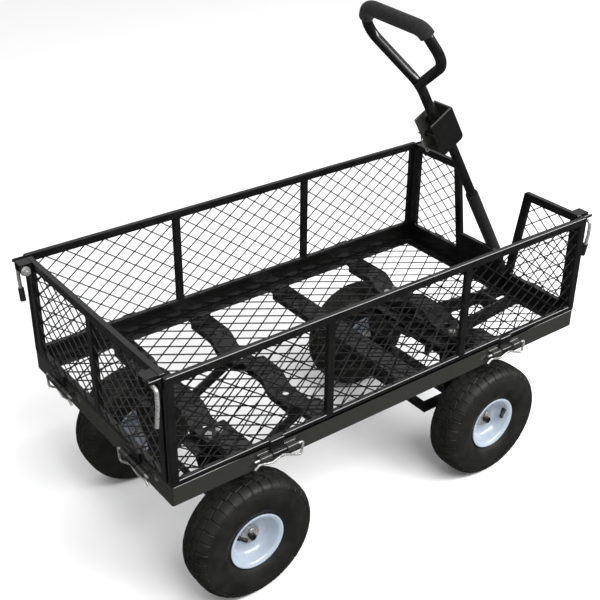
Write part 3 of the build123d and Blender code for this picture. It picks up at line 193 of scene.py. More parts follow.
class WheelSizes(bpy.types.PropertyGroup):
    """Tread and smoothness of the wheels."""

    lugs: IntProperty(name="Lugs", description="Tread lugs round each shoulder of a tyre", default=36, min=12)
    lug_gap: FloatProperty(
        name="Lug gap", description="Groove between two lugs of a row", default=2.8 * MM, unit="LENGTH"
    )
    steps: IntProperty(name="Steps", description="Steps round a turned piece", default=96, min=24)


class FinishColours(bpy.types.PropertyGroup):
    """Colours of the finishes."""

    coat: FloatVectorProperty(
        name="Powder coat", description="Colour of the painted steel", size=3, subtype="COLOR",
        default=(0.0052, 0.0052, 0.0050), min=0, max=1,
    )
    # painted light: the paler shade that stands for the lamps' light on the bed's outer faces
    rail: FloatVectorProperty(
        name="Rail", description="Colour of the bed's outer faces, where the coat has gone dull", size=3,
        subtype="COLOR", default=(0.021, 0.021, 0.0185), min=0, max=1,
    )
    zinc: FloatVectorProperty(
        name="Zinc", description="Colour of the plated pins and nuts", size=3, subtype="COLOR",
        default=(0.50, 0.50, 0.49), min=0, max=1,
    )
    rim: FloatVectorProperty(
        name="Rim paint", description="Colour of the rims", size=3, subtype="COLOR",
        default=(0.32, 0.37, 0.43), min=0, max=1,
    )
    rubber: FloatVectorProperty(
        name="Rubber", description="Colour of the tyres", size=3, subtype="COLOR",
        default=(0.0080, 0.0080, 0.0073), min=0, max=1,
    )
    foam: FloatVectorProperty(
        name="Foam", description="Colour of the grip and, made darker, of the handle's sleeve", size=3,
        subtype="COLOR", default=(0.0140, 0.0140, 0.0142), min=0, max=1,
    )
    vinyl: FloatVectorProperty(
        name="Vinyl", description="Colour of the dipped lever tips and plastic bushes", size=3,
        subtype="COLOR", default=(0.010, 0.010, 0.011), min=0, max=1,
    )


class StageSettings(bpy.types.PropertyGroup):
    """Floor, lamps and camera."""

    floor: FloatVectorProperty(
        name="Floor", description="Colour of the studio floor", size=3, subtype="COLOR",
        default=(0.95, 0.95, 0.95), min=0, max=1,
    )
    ground: FloatProperty(name="Ground", description="Strength of the light from below", default=0.08, min=0)
    zenith: FloatProperty(name="Zenith", description="Strength of the light from above", default=1.15, min=0)
    key: FloatProperty(name="Key", description="Power of the main lamp", default=70, min=0, unit="POWER")
    strip: FloatProperty(
        name="Strip", description="Power of the long lamp that draws lines on the edges", default=150, min=0,
        unit="POWER",
    )
    lens: FloatProperty(
        name="Lens", description="Focal length", default=63.18, min=1, subtype="DISTANCE_CAMERA"
    )


def begin_finish(name, roughness, metallic=0.0):
    """A material with its constants set on the shader, and the place that its patterns read."""
    material = bpy.data.materials.new(name)
    material.use_nodes = True
    tree = material.node_tree
    shader = tree.nodes["Principled BSDF"]
    shader.inputs["Roughness"].default_value = roughness
    shader.inputs["Metallic"].default_value = metallic
    place = tree.nodes.new("ShaderNodeTexCoord").outputs["Object"]
    return material, tree, shader, place


def grain(tree, place, scale, detail=3.0):
    """Noise of a given number of spots per metre."""
    noise = tree.nodes.new("ShaderNodeTexNoise")
    noise.inputs["Scale"].default_value = scale
    noise.inputs["Detail"].default_value = detail
    tree.links.new(place, noise.inputs["Vector"])
    return noise.outputs["Fac"]


def tint(tree, shader, pattern, dark, light, low=0.35, high=0.65):
    """Runs a finish's colour between two shades."""
    ramp = tree.nodes.new("ShaderNodeValToRGB")
    first, last = ramp.color_ramp.elements
    first.position, first.color = low, (*dark, 1)
    last.position, last.color = high, (*light, 1)
    tree.links.new(pattern, ramp.inputs["Fac"])
    tree.links.new(ramp.outputs["Color"], shader.inputs["Base Color"])


def gloss(tree, shader, pattern, low, high):
    """Runs a finish's roughness between two values."""
    span = tree.nodes.new("ShaderNodeMapRange")
    span.inputs["From Min"].default_value = NOISE_LOW
    span.inputs["From Max"].default_value = NOISE_HIGH
    span.inputs["To Min"].default_value = low
    span.inputs["To Max"].default_value = high
    tree.links.new(pattern, span.inputs["Value"])
    tree.links.new(span.outputs["Result"], shader.inputs["Roughness"])


def relief(tree, shader, pattern, strength, distance):
    """Gives a finish the small bumps of a pattern."""
    bump = tree.nodes.new("ShaderNodeBump")
    bump.inputs["Strength"].default_value = strength
    bump.inputs["Distance"].default_value = distance
    tree.links.new(pattern, bump.inputs["Height"])
    tree.links.new(bump.outputs["Normal"], shader.inputs["Normal"])


def shade(colour, factor):
    """A colour made darker or lighter."""
    return [min(1.0, channel * factor) for channel in colour]


def begin_coat(name):
    """Semi-gloss powder coat with a faint orange peel, still without its colour."""
    material, tree, shader, place = begin_finish(name, roughness=0.16)
    gloss(tree, shader, grain(tree, place, scale=140), low=0.12, high=0.20)
    relief(tree, shader, grain(tree, place, scale=900, detail=2.0), strength=0.03, distance=0.3 * MM)
    return material, tree, shader, place


def powder_coat(colour):
    """Powder coat that is a little uneven in shade."""
    material, tree, shader, place = begin_coat("powder_coat")
    tint(tree, shader, grain(tree, place, scale=28), shade(colour, 0.75), shade(colour, 1.35))
    return material


def painted_light_coat(name, inside, outside, middle, lean, half):
    """Powder coat with painted light: one shade inside a box that leans about Y, and another on the faces outside
    it.
    """
    material, tree, shader, place = begin_coat(name)
    upright = tree.nodes.new("ShaderNodeMapping")
    upright.vector_type = "TEXTURE"
    upright.inputs["Location"].default_value = middle
    upright.inputs["Rotation"].default_value = (0, radians(lean), 0)
    tree.links.new(place, upright.inputs["Vector"])
    distance = upright.outputs["Vector"]
    for operation, value in (("ABSOLUTE", (0, 0, 0)), ("SUBTRACT", half)):
        step = tree.nodes.new("ShaderNodeVectorMath")
        step.operation = operation
        step.inputs[1].default_value = value
        tree.links.new(distance, step.inputs[0])
        distance = step.outputs["Vector"]
    axes = tree.nodes.new("ShaderNodeSeparateXYZ")
    tree.links.new(distance, axes.inputs["Vector"])
    furthest = tree.nodes.new("ShaderNodeMath")
    furthest.operation = "MAXIMUM"
    tree.links.new(axes.outputs["X"], furthest.inputs[0])
    tree.links.new(axes.outputs["Y"], furthest.inputs[1])
    mask = tree.nodes.new("ShaderNodeMapRange")
    mask.inputs["From Min"].default_value = -PAINTED_LIGHT_BLEND
    mask.inputs["From Max"].default_value = PAINTED_LIGHT_BLEND
    tree.links.new(furthest.outputs["Value"], mask.inputs["Value"])
    tint(tree, shader, mask.outputs["Result"], inside, outside, low=0.0, high=1.0)
    return material


def rail_painted_light_coat(coat, lamplit):
    """The bed's coat with painted light: paler and olive on the outer faces of its rails, where the lamps fall on
    them, and left dark inside as in shade.
    """
    half = (BED_LENGTH / 2 - PAINTED_LIGHT_DEPTH, BED_WIDTH / 2 - PAINTED_LIGHT_DEPTH, 0)
    return painted_light_coat("rail_painted_light_coat", coat, lamplit, (BED_X, 0, 0), 0, half)


def bracket_painted_light_coat(coat, lamplit):
    """The tow bracket's coat with painted light, which makes it pale between its walls and behind its web."""
    half = (BRACKET_REACH, BRACKET_WIDTH / 2 - PAINTED_LIGHT_DEPTH, 0)
    middle = handle_place() @ Vector((BRACKET_FRONT - PAINTED_LIGHT_DEPTH - BRACKET_REACH, 0, 0))
    return painted_light_coat("bracket_painted_light_coat", shade(lamplit, BRACKET_PAINTED_LIGHT), coat, middle, -HANDLE_LEAN, half)


def zinc_plate(colour):
    """Bright zinc with cloudy patches."""
    material, tree, shader, place = begin_finish("zinc_plate", roughness=0.28, metallic=0.65)
    tint(tree, shader, grain(tree, place, scale=160), shade(colour, 0.8), shade(colour, 1.12))
    gloss(tree, shader, grain(tree, place, scale=420), low=0.20, high=0.38)
    relief(tree, shader, grain(tree, place, scale=1500, detail=2.0), strength=0.06, distance=0.2 * MM)
    return material


def rim_paint(colour):
    """Pale gloss paint with slight flow marks."""
    material, tree, shader, place = begin_finish("rim_paint", roughness=0.26)
    shader.inputs["Coat Weight"].default_value = 0.35
    shader.inputs["Coat Roughness"].default_value = 0.08
    tint(tree, shader, grain(tree, place, scale=45), shade(colour, 0.94), shade(colour, 1.05))
    relief(tree, shader, grain(tree, place, scale=300, detail=1.0), strength=0.04, distance=0.4 * MM)
    return material


def tyre_rubber(colour):
    """Moulded rubber, duller and browner in patches."""
    material, tree, shader, place = begin_finish("tyre_rubber", roughness=0.5)
    shader.inputs["Specular IOR Level"].default_value = 0.25
    worn = [channel * wear for channel, wear in zip(colour, RUBBER_WEAR)]
    tint(tree, shader, grain(tree, place, scale=38, detail=5.0), shade(colour, 0.8), worn)
    gloss(tree, shader, grain(tree, place, scale=170), low=0.42, high=0.62)
    relief(tree, shader, grain(tree, place, scale=520), strength=0.18, distance=0.5 * MM)
    return material


def foam_skin(name, colour):
    """Closed-cell foam: matt, with fine pores."""
    material, tree, shader, place = begin_finish(name, roughness=0.8)
    shader.inputs["Specular IOR Level"].default_value = 0.12
    shader.inputs["Sheen Weight"].default_value = 0.06
    tint(tree, shader, grain(tree, place, scale=90), shade(colour, 0.8), shade(colour, 1.3))
    gloss(tree, shader, grain(tree, place, scale=240), low=0.72, high=0.9)
    pores = tree.nodes.new("ShaderNodeTexVoronoi")
    pores.inputs["Scale"].default_value = 1100
    tree.links.new(place, pores.inputs["Vector"])
    relief(tree, shader, pores.outputs["Distance"], strength=0.22, distance=0.5 * MM)
    return material


def dipped_vinyl(colour):
    """Smooth black plastic with a soft shine."""
    material, tree, shader, place = begin_finish("vinyl", roughness=0.3)
    tint(tree, shader, grain(tree, place, scale=120), shade(colour, 0.8), shade(colour, 1.5))
    gloss(tree, shader, grain(tree, place, scale=300), low=0.24, high=0.4)
    relief(tree, shader, grain(tree, place, scale=700, detail=2.0), strength=0.06, distance=0.3 * MM)
    return material


FINISHES = {}


def make_finishes(colours):
    """One material for each slot of the record, and one for each piece with a shade of its own."""
    FINISHES["powder_coat"] = powder_coat(colours.coat)
    # painted light on the bed's outer faces and inside the tow bracket
    FINISHES["rail_painted_light_coat"] = rail_painted_light_coat(colours.coat, colours.rail)
    FINISHES["bracket_painted_light_coat"] = bracket_painted_light_coat(colours.coat, colours.rail)
    FINISHES["zinc_plate"] = zinc_plate(colours.zinc)
    FINISHES["rim_paint"] = rim_paint(colours.rim)
    FINISHES["tyre_rubber"] = tyre_rubber(colours.rubber)
    FINISHES["grip_foam"] = foam_skin("grip_foam", colours.foam)
    FINISHES["sleeve_foam"] = foam_skin("sleeve_foam", shade(colours.foam, SLEEVE_DARKNESS))
    FINISHES["vinyl"] = dipped_vinyl(colours.vinyl)
    FINISHES["bearing_plastic"] = FINISHES["vinyl"]


def finish_piece(name, bm, slot, body, nodes, crease=35.0):
    """Turns a bmesh into a piece that rides on a body and stands for CAD nodes."""
    bmesh.ops.recalc_face_normals(bm, faces=bm.faces)
    mesh = bpy.data.meshes.new(name)
    bm.to_mesh(mesh)
    bm.free()
    mesh.shade_smooth()
    mesh.set_sharp_from_angle(angle=radians(crease))
    mesh.materials.append(FINISHES[slot])
    piece = bpy.data.objects.new(name, mesh)
    bpy.context.scene.collection.objects.link(piece)
    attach(piece, body)
    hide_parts(*nodes)
    return piece


def body_of(node):
    """The body that a CAD node belongs to."""
    for body, nodes in FRAME["record"]["behaviour"]["bodies"].items():
        if node in nodes:
            return body
    raise ValueError(f"no body holds {node}")


def edge_place(name):
    """The frame of one edge of the bed: X along the rail, Y inwards, Z up from the rail's top."""
    places = {
        "right": ((0, -BED_WIDTH / 2), 0),
        "left": ((0, BED_WIDTH / 2), 180),
        "rear": ((-BED_LENGTH / 2, 0), -90),
        "front": ((BED_LENGTH / 2, 0), 90),
    }
    (x, y), turn = places[name]
    return Matrix.Translation((BED_X + x, y, RAIL_TOP)) @ Matrix.Rotation(radians(turn), 4, "Z")


def wheel_place(wheel):
    """The frame of a wheel: Z along its axle, away from the cart."""
    low, high = (Vector(corner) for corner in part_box(f"{wheel}_rim"))
    turn = -90 if wheel.endswith("left") else 90
    return Matrix.Translation((low + high) / 2) @ Matrix.Rotation(radians(turn), 4, "X")


def handle_place():
    """The frame of the parked handle: X forwards from it, Z along it from its pivot."""
    joint = next(joint for joint in FRAME["joints"] if joint["name"] == "handle_swing")
    return Matrix.Translation(joint["pos_m"]) @ Matrix.Rotation(radians(-HANDLE_LEAN), 4, "Y")


def rod(bm, start, end, radius, sides=8):
    """A straight round wire or bar."""
    run = end - start
    place = Matrix.Translation((start + end) / 2) @ run.to_track_quat("Z", "X").to_matrix().to_4x4()
    bmesh.ops.create_cone(
        bm, cap_ends=True, segments=sides, radius1=radius, radius2=radius, depth=run.length, matrix=place
    )


def box_region(u, v):
    """The corners of a rectangle, anticlockwise."""
    return [(u[0], v[0]), (u[1], v[0]), (u[1], v[1]), (u[0], v[1])]


def inside_span(region, point, along):
    """Where a line runs inside a convex anticlockwise region, as two distances along it, or None."""
    low, high = -FAR, FAR
    for (ax, ay), (bx, by) in zip(region, region[1:] + region[:1]):
        nx, ny = ay - by, bx - ax
        depth = nx * (point[0] - ax) + ny * (point[1] - ay)
        rate = nx * along[0] + ny * along[1]
        if abs(rate) < PARALLEL:
            if depth < 0:
                return None
            continue
        cut = -depth / rate
        if rate > 0:
            low = max(low, cut)
        else:
            high = min(high, cut)
    return (low, high) if high - low > SHORTEST_WIRE else None


def outside_spans(span, cut):
    """What is left of a stretch of wire when a notch takes a middle part or an end out of it."""
    if cut is None:
        return [span]
    left = ((span[0], min(span[1], cut[0])), (max(span[0], cut[1]), span[1]))
    return [(low, high) for low, high in left if high - low > SHORTEST_WIRE]


def diamond_wires(bm, region, cell, origin, radius, place, layers, notch=None):
    """Two crossing sets of straight wires over a region, each set on a layer of its own."""
    half_u, half_v = cell[0] / 2, cell[1] / 2
    length = hypot(half_u, half_v)
    for slope, layer in zip((1, -1), layers):
        along = (half_u / length, -slope * half_v / length)
        reach = [(u - origin[0]) / half_u + slope * (v - origin[1]) / half_v for u, v in region]
        first, last = int(min(reach) // 2) - 1, int(max(reach) // 2) + 1
        for k in range(first, last + 1):
            point = (origin[0] + (2 * k + 1) * half_u, origin[1])
            span = inside_span(region, point, along)
            if span is None:
                continue
            cut = inside_span(notch, point, along) if notch else None
            for stretch in outside_spans(span, cut):
                ends = []
                for distance in stretch:
                    u, v = point[0] + along[0] * distance, point[1] + along[1] * distance
                    ends.append(place @ Vector((u, layer, v)))
                rod(bm, *ends, radius)


def extrude_ring(bm, edges, move):
    """Draws a ring of edges out along a straight run and returns the new ring."""
    made = bmesh.ops.extrude_edge_only(bm, edges=edges)["geom"]
    verts = [item for item in made if isinstance(item, bmesh.types.BMVert)]
    bmesh.ops.translate(bm, vec=move, verts=verts)
    made_edges = [item for item in made if isinstance(item, bmesh.types.BMEdge)]
    return [edge for edge in made_edges if all(vert in verts for vert in edge.verts)]


def bent_tube(bm, points, bends, radius, sides, steps):
    """A round bar along straight runs that are joined by arcs, closed at both ends."""
    run = points[1] - points[0]
    place = Matrix.Translation(points[0]) @ run.to_track_quat("Z", "X").to_matrix().to_4x4()
    circle = bmesh.ops.create_circle(bm, cap_ends=False, segments=sides, radius=radius, matrix=place)["verts"]
    first = list({edge for vert in circle for edge in vert.link_edges})
    edges, here = first, points[0]
    for before, corner, after, bend in zip(points, points[1:], points[2:], bends):
        come, go = (corner - before).normalized(), (after - corner).normalized()
        turn = come.angle(go)
        cut = bend * tan(turn / 2)
        edges = extrude_ring(bm, edges, corner - come * cut - here)
        axis = come.cross(go).normalized()
        centre = corner - come * cut + axis.cross(come) * bend
        made = bmesh.ops.spin(
            bm, geom=edges, cent=centre, axis=axis, angle=turn, steps=steps, use_duplicate=False
        )["geom_last"]
        edges = [item for item in made if isinstance(item, bmesh.types.BMEdge)]
        here = corner + go * cut
    edges = extrude_ring(bm, edges, points[-1] - here)
    for loop in (first, edges):
        bmesh.ops.contextual_create(bm, geom=loop)


def join(bm, part):
    """Adds a finished part to a piece."""
    mesh = bpy.data.meshes.new("part")
    part.to_mesh(mesh)
    part.free()
    bm.from_mesh(mesh)
    bpy.data.meshes.remove(mesh)


def spin_round(bm, edges, steps, place):
    """Turns edges in the XZ plane a full round about Z, closes the seam and puts the shape in its place."""
    bmesh.ops.spin(
        bm, geom=list(bm.verts) + edges, cent=(0, 0, 0), axis=(0, 0, 1), angle=2 * pi, steps=steps,
        use_merge=True,
    )
    bmesh.ops.remove_doubles(bm, verts=bm.verts, dist=TOUCHING)
    bmesh.ops.dissolve_degenerate(bm, edges=bm.edges, dist=TOUCHING)
    bmesh.ops.transform(bm, matrix=place, verts=bm.verts)


def ring(section, steps, place):
    """A closed section of (radius, height, rounding) in millimetres, turned about Z."""
    bm = bmesh.new()
    verts = [bm.verts.new((radius * MM, 0, height * MM)) for radius, height, _ in section]
    bm.faces.new(verts)
    for size in sorted({rounding for _, _, rounding in section if rounding}):
        corners = [vert for vert, (_, _, rounding) in zip(verts, section) if rounding == size]
        bmesh.ops.bevel(
            bm, geom=corners, offset=size * MM, affect="VERTICES", segments=6, profile=0.5, material=-1
        )
    bmesh.ops.delete(bm, geom=list(bm.faces), context="FACES_ONLY")
    spin_round(bm, list(bm.edges), steps, place)
    return bm


def lathe(outline, steps, place):
    """An outline of (radius, height) in millimetres from axis to axis, turned about Z."""
    bm = bmesh.new()
    verts = [bm.verts.new((radius * MM, 0, height * MM)) for radius, height in outline]
    edges = [bm.edges.new(pair) for pair in zip(verts, verts[1:])]
    spin_round(bm, edges, steps, place)
    return bm


def lug_row(section, width, turn, start, count):
    """A row of tread lugs: one section of (radius, height) drawn out, turned a little and repeated."""
    bm = bmesh.new()
    verts = [bm.verts.new((radius * MM, -width / 2, height * MM)) for radius, height in section]
    made = bmesh.ops.extrude_face_region(bm, geom=[bm.faces.new(verts)])["geom"]
    moved = [item for item in made if isinstance(item, bmesh.types.BMVert)]
    bmesh.ops.translate(bm, vec=(0, width, 0), verts=moved)
    bmesh.ops.bevel(
        bm, geom=list(bm.edges), offset=LUG_EDGE, affect="EDGES", segments=1, profile=0.5, material=-1
    )
    middle = sum(height for _, height in section) / len(section) * MM
    bmesh.ops.rotate(
        bm, cent=(0, 0, middle), matrix=Matrix.Rotation(radians(turn), 3, "X"), verts=bm.verts
    )
    bmesh.ops.rotate(bm, cent=(0, 0, 0), matrix=Matrix.Rotation(start, 3, "Z"), verts=bm.verts)
    step = 2 * pi / count
    bmesh.ops.spin(
        bm, geom=list(bm.verts) + list(bm.edges) + list(bm.faces), cent=(0, 0, 0), axis=(0, 0, 1),
        angle=2 * pi - step, steps=count - 1, use_duplicate=True,
    )
    return bm


class CART_OT_steelwork(bpy.types.Operator):
    """Give every CAD piece its finish, and the steel pieces softened edges"""

    bl_idname = "cart.steelwork"
    bl_label = "Steelwork"

    def execute(self, context):
        make_finishes(context.scene.cart_finishes)
        for entry in FRAME["record"]["subparts"]:
            name = entry["node"]
            node = FRAME["nodes"][name]
            node.data.materials.clear()
            # the bed and the tow bracket get coats with painted light
            node.data.materials.append(FINISHES[PAINTED_LIGHT_COATS.get(name, entry["material_slot"])])
            if name in EDGE_WIDTHS:
                self.soften(node, EDGE_WIDTHS[name] * MM, name in FINE_EDGED)
        return {"FINISHED"}

    def soften(self, node, width, held_back):
        """Rounds the sharp edges of a steel piece."""
        weld = node.modifiers.new("weld", "WELD")
        weld.merge_threshold = TOUCHING
        edges = node.modifiers.new("edges", "BEVEL")
        edges.limit_method = "ANGLE"
        edges.angle_limit = radians(EDGE_ANGLE)
        edges.width = width
        edges.segments = 3
        edges.loop_slide = False
        edges.use_clamp_overlap = held_back


class CART_OT_nets(bpy.types.Operator):
    """Build the crossing wires of the gates and the floor"""

    bl_idname = "cart.nets"
    bl_label = "Wire nets"

    def execute(self, context):
        sizes = context.scene.cart_nets
        self.side_and_rear_gates(sizes)
        self.front_gates(sizes)
        self.floor(sizes)
        return {"FINISHED"}

    def gate(self, sizes, node, edge, regions, start):
        """The nets of one gate, in the openings between its tubes."""
        lift = sizes.gate_wire * LAYER_OFFSET
        layers = (TUBE_DEPTH / 2 - lift, TUBE_DEPTH / 2 + lift)
        origin = (start, NET_LOW)
        bm = bmesh.new()
        for region in regions:
            diamond_wires(bm, region, sizes.gate_cell, origin, sizes.gate_wire, edge_place(edge), layers)
        finish_piece(node.replace("_mesh", "_wires"), bm, "powder_coat", body_of(node), [node])

    def side_and_rear_gates(self, sizes):
        """Three nets in each side gate and two in the rear gate."""
        half_tube = TUBE_FACE / 2
        side_end, rear_end = BED_LENGTH / 2 - TUBE_FACE, END_HALF - TUBE_FACE
        inner, outer = SIDE_POST - half_tube, SIDE_POST + half_tube
        side_spans = ((-side_end, -outer), (-inner, inner), (outer, side_end))
        rear_spans = ((-rear_end, -half_tube), (half_tube, rear_end))
        quarter = sizes.gate_cell[0] / 4
        gates = (
            ("left_side_mesh", "left", side_spans, quarter),
            ("right_side_mesh", "right", side_spans, quarter),
            ("rear_gate_mesh", "rear", rear_spans, 0),
        )
        for node, edge, spans, start in gates:
            regions = [box_region((low - WIRE_BITE, high + WIRE_BITE), NET_HEIGHTS) for low, high in spans]
            self.gate(sizes, node, edge, regions, start)

    def front_gates(self, sizes):
        """A net in each front gate, cut off along the leaning post beside the handle."""
        lean = (NOTCH_TOP - NOTCH_LOW) / GATE_HEIGHT
        post = TUBE_FACE * hypot(1, lean)
        low, high = NET_HEIGHTS
        inner_low, inner_high = (NOTCH_LOW + lean * height + post - WIRE_BITE for height in NET_HEIGHTS)
        outer = END_HALF - TUBE_FACE + WIRE_BITE
        left = [(inner_low, low), (outer, low), (outer, high), (inner_high, high)]
        right = [(-u, v) for u, v in reversed(left)]
        for node, region in (("front_left_gate_mesh", left), ("front_right_gate_mesh", right)):
            self.gate(sizes, node, "front", [region], 0)

    def floor(self, sizes):
        """The floor's wires, which end at an edge wire that goes round the handle's rest."""
        low, high = (Vector(corner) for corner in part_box("floor_mesh"))
        middle = (low.z + high.z) / 2
        place = Matrix.Translation((BED_X, 0, middle)) @ Matrix.Rotation(radians(-90), 4, "X")
        half_u, half_v = (high.x - low.x) / 2, (high.y - low.y) / 2
        wire = sizes.floor_wire
        end_u, end_v = half_u - wire, half_v - wire
        notch_u, notch_v = REST_NOTCH - wire, REST_HALF + wire
        region = box_region((-end_u, end_u), (-end_v, end_v))
        notch = box_region((notch_u, end_u + wire), (-notch_v, notch_v))
        bm = bmesh.new()
        origin = (sizes.floor_cell[0] / 4, 0)
        lift = high.z - middle - wire
        diamond_wires(bm, region, sizes.floor_cell, origin, wire, place, (-lift, lift), notch)
        edge = [(-end_u, -end_v), (end_u, -end_v), (end_u, -notch_v), (notch_u, -notch_v)]
        edge += [(u, -v) for u, v in reversed(edge)]
        corners = [place @ Vector((u, 0, v)) for u, v in edge]
        for start, end in zip(corners, corners[1:] + corners[:1]):
            rod(bm, start, end, wire)
        finish_piece("floor_wires", bm, "powder_coat", "bed", ["floor_mesh"])


class CART_OT_wheels(bpy.types.Operator):
    """Build the tyres with their tread and valve, and the dished rims"""

    bl_idname = "cart.wheels"
    bl_label = "Wheels"

    def execute(self, context):
        sizes = context.scene.cart_wheels
        for wheel in WHEELS:
            place, body = wheel_place(wheel), f"{wheel}_wheel"
            rim = ring(RIM_SECTION, sizes.steps, place)
            finish_piece(f"{wheel}_dished_rim", rim, "rim_paint", body, [f"{wheel}_rim"])
            tyre = self.tyre(sizes)
            join(tyre, self.valve(VALVE_ANGLES[wheel]))
            bmesh.ops.transform(tyre, matrix=place, verts=tyre.verts)
            finish_piece(f"{wheel}_treaded_tyre", tyre, "tyre_rubber", body, [f"{wheel}_tyre"])
        return {"FINISHED"}

    def tyre(self, sizes):
        """A carcass with staggered shoulder lugs and slanted middle blocks."""
        outside = [(radius, height, 0) for radius, height in CARCASS_OUTSIDE]
        inside = [(radius, height, 0) for radius, height in CARCASS_INSIDE]
        far_outside = [(radius, -height, 0) for radius, height, _ in reversed(outside[:-1])]
        far_inside = [(radius, -height, 0) for radius, height, _ in inside[:-1]]
        bm = ring(outside + far_outside + far_inside + inside[::-1], sizes.steps, Matrix())
        pitch = 2 * pi / sizes.lugs
        for side, phase in TREAD_SIDES:
            for outline, turn, shift in TREAD_ROWS:
                reach = max(radius for radius, _ in outline) * MM
                section = [(radius, side * height) for radius, height in outline]
                width = reach * pitch - sizes.lug_gap
                join(bm, lug_row(section, width, side * turn, (phase + shift) * pitch, sizes.lugs))
        return bm

    def valve(self, angle):
        """A rubber valve with its cap, on the inside of the barrel and pointing to the hub."""
        seat = Matrix.Rotation(radians(angle), 4, "Z") @ Matrix.Translation(VALVE_SEAT)
        return lathe(VALVE_OUTLINE, VALVE_STEPS, seat @ Matrix.Rotation(radians(VALVE_TILT - 90), 4, "Y"))


class CART_OT_foam(bpy.types.Operator):
    """Build the foam grip and the foam sleeve of the handle"""

    bl_idname = "cart.foam"
    bl_label = "Foam"

    def execute(self, context):
        place = handle_place()
        bm = bmesh.new()
        path = [Vector(point) * MM for point in GRIP_PATH]
        bent_tube(bm, path, GRIP_BENDS, GRIP_RADIUS, sides=28, steps=12)
        self.round_ends(bm, GRIP_ROUNDING)
        bmesh.ops.transform(bm, matrix=place, verts=bm.verts)
        grip = finish_piece("grip_foam_sleeve", bm, "grip_foam", "grip", ["grip_foam"], FOAM_CREASE)
        bm = bmesh.new()
        ends = [Vector((0, 0, height)) for height in SLEEVE_SPAN]
        rod(bm, *ends, SLEEVE_RADIUS, sides=32)
        self.round_ends(bm, SLEEVE_ROUNDING)
        bmesh.ops.transform(bm, matrix=place, verts=bm.verts)
        sleeve = finish_piece(
            "handle_foam_sleeve", bm, "grip_foam", "pull_handle", ["handle_sleeve"], FOAM_CREASE
        )
        sleeve.data.materials[0] = FINISHES["sleeve_foam"]
        return {"FINISHED"}

    def round_ends(self, bm, size):
        """Rounds the two end edges of a sleeve, which are the edges of its only faces with many corners."""
        edges = [edge for edge in bm.edges if any(len(face.verts) > 4 for face in edge.link_faces)]
        bmesh.ops.bevel(bm, geom=edges, offset=size, affect="EDGES", segments=4, profile=0.5, material=-1)


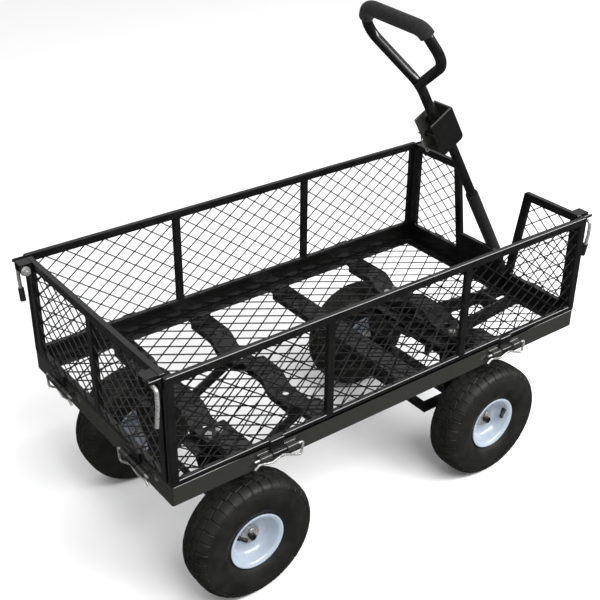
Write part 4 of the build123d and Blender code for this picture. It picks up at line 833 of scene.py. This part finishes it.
class CART_OT_stage(bpy.types.Operator):
    """Set the pale floor, the soft lamps and the camera"""

    bl_idname = "cart.stage"
    bl_label = "Stage"

    def execute(self, context):
        settings = context.scene.cart_stage
        self.floor(context, settings)
        self.sky(context, settings)
        self.lamps(context, settings)
        self.camera(context, settings)
        return {"FINISHED"}

    def floor(self, context, settings):
        """A wide plain floor under the tyres, which the black paint doesn't mirror."""
        bm = bmesh.new()
        bmesh.ops.create_grid(bm, x_segments=2, y_segments=2, size=FLOOR_HALF)
        mesh = bpy.data.meshes.new("studio_floor")
        bm.to_mesh(mesh)
        bm.free()
        material, tree, shader, place = begin_finish("studio_floor", roughness=0.9)
        shader.inputs["Specular IOR Level"].default_value = 0.0
        patches = grain(tree, place, scale=3)
        tint(tree, shader, patches, shade(settings.floor, FLOOR_DARKNESS), settings.floor)
        mesh.materials.append(material)
        floor = bpy.data.objects.new("studio_floor", mesh)
        floor.visible_glossy = False
        context.scene.collection.objects.link(floor)

    def sky(self, context, settings):
        """White light that grows from the ground to the zenith, shown without a film curve."""
        world = bpy.data.worlds.new("studio")
        world.use_nodes = True
        tree = world.node_tree
        axes = tree.nodes.new("ShaderNodeSeparateXYZ")
        tree.links.new(tree.nodes.new("ShaderNodeTexCoord").outputs["Generated"], axes.inputs["Vector"])
        height = tree.nodes.new("ShaderNodeMapRange")
        height.inputs["From Min"].default_value = -1
        tree.links.new(axes.outputs["Z"], height.inputs["Value"])
        ramp = tree.nodes.new("ShaderNodeValToRGB")
        stops = ((GROUND_HEIGHT, settings.ground), (ZENITH_HEIGHT, settings.zenith))
        for element, (position, strength) in zip(ramp.color_ramp.elements, stops):
            element.position, element.color = position, (strength, strength, strength, 1)
        tree.links.new(height.outputs["Result"], ramp.inputs["Fac"])
        tree.links.new(ramp.outputs["Color"], tree.nodes["Background"].inputs["Color"])
        context.scene.world = world
        context.scene.view_settings.view_transform = "Standard"

    def lamps(self, context, settings):
        """A large key, and a long lamp along the near side."""
        powers = {"key_lamp": settings.key, "strip_lamp": settings.strip}
        for name, (size, place, turn) in LAMPS.items():
            data = bpy.data.lights.new(name, "AREA")
            data.energy = powers[name]
            data.shape = "RECTANGLE"
            data.size, data.size_y = size
            lamp = bpy.data.objects.new(name, data)
            lamp.location = place
            lamp.rotation_euler = (radians(turn[0]), radians(turn[1]), 0)
            context.scene.collection.objects.link(lamp)

    def camera(self, context, settings):
        """The photograph's view: round to the rear right and looking down on the bed."""
        azimuth, elevation, roll = map(radians, (CAMERA_AZIMUTH, CAMERA_ELEVATION, CAMERA_ROLL))
        back = Vector((sin(azimuth) * cos(elevation), -cos(azimuth) * cos(elevation), sin(elevation)))
        level = Vector((cos(azimuth), sin(azimuth), 0))
        rise = back.cross(level)
        right = level * cos(roll) + rise * sin(roll)
        up = rise * cos(roll) - level * sin(roll)
        data = bpy.data.cameras.new("camera")
        data.lens = settings.lens
        data.sensor_width = SENSOR_WIDTH
        camera = bpy.data.objects.new("camera", data)
        eye = CAMERA_TARGET + back * CAMERA_DISTANCE
        camera.matrix_world = Matrix.Translation(eye) @ Matrix((right, up, back)).transposed().to_4x4()
        context.scene.collection.objects.link(camera)
        context.scene.camera = camera


class CART_PT_sidebar(bpy.types.Panel):
    """Lists the steps that dress the cart"""

    bl_idname = "CART_PT_sidebar"
    bl_label = "Hand cart"
    bl_space_type = "VIEW_3D"
    bl_region_type = "UI"
    bl_category = "Cart"

    def draw(self, context):
        for operator in OPERATORS:
            self.layout.operator(operator.bl_idname)


OPERATORS = (CART_OT_steelwork, CART_OT_nets, CART_OT_wheels, CART_OT_foam, CART_OT_stage)
GROUPS = {
    "cart_nets": NetSizes,
    "cart_wheels": WheelSizes,
    "cart_finishes": FinishColours,
    "cart_stage": StageSettings,
}


def register():
    """Registers the settings, the operators and the panel."""
    for name, group in GROUPS.items():
        bpy.utils.register_class(group)
        setattr(bpy.types.Scene, name, PointerProperty(type=group))
    for operator in OPERATORS:
        bpy.utils.register_class(operator)
    bpy.utils.register_class(CART_PT_sidebar)


def unregister():
    """Takes them all away again."""
    bpy.utils.unregister_class(CART_PT_sidebar)
    for operator in reversed(OPERATORS):
        bpy.utils.unregister_class(operator)
    for name, group in reversed(GROUPS.items()):
        delattr(bpy.types.Scene, name)
        bpy.utils.unregister_class(group)


def main():
    """Dresses the cart."""
    register()
    bpy.ops.cart.steelwork()
    bpy.ops.cart.nets()
    bpy.ops.cart.wheels()
    bpy.ops.cart.foam()
    bpy.ops.cart.stage()


if __name__ == "__main__":
    main()
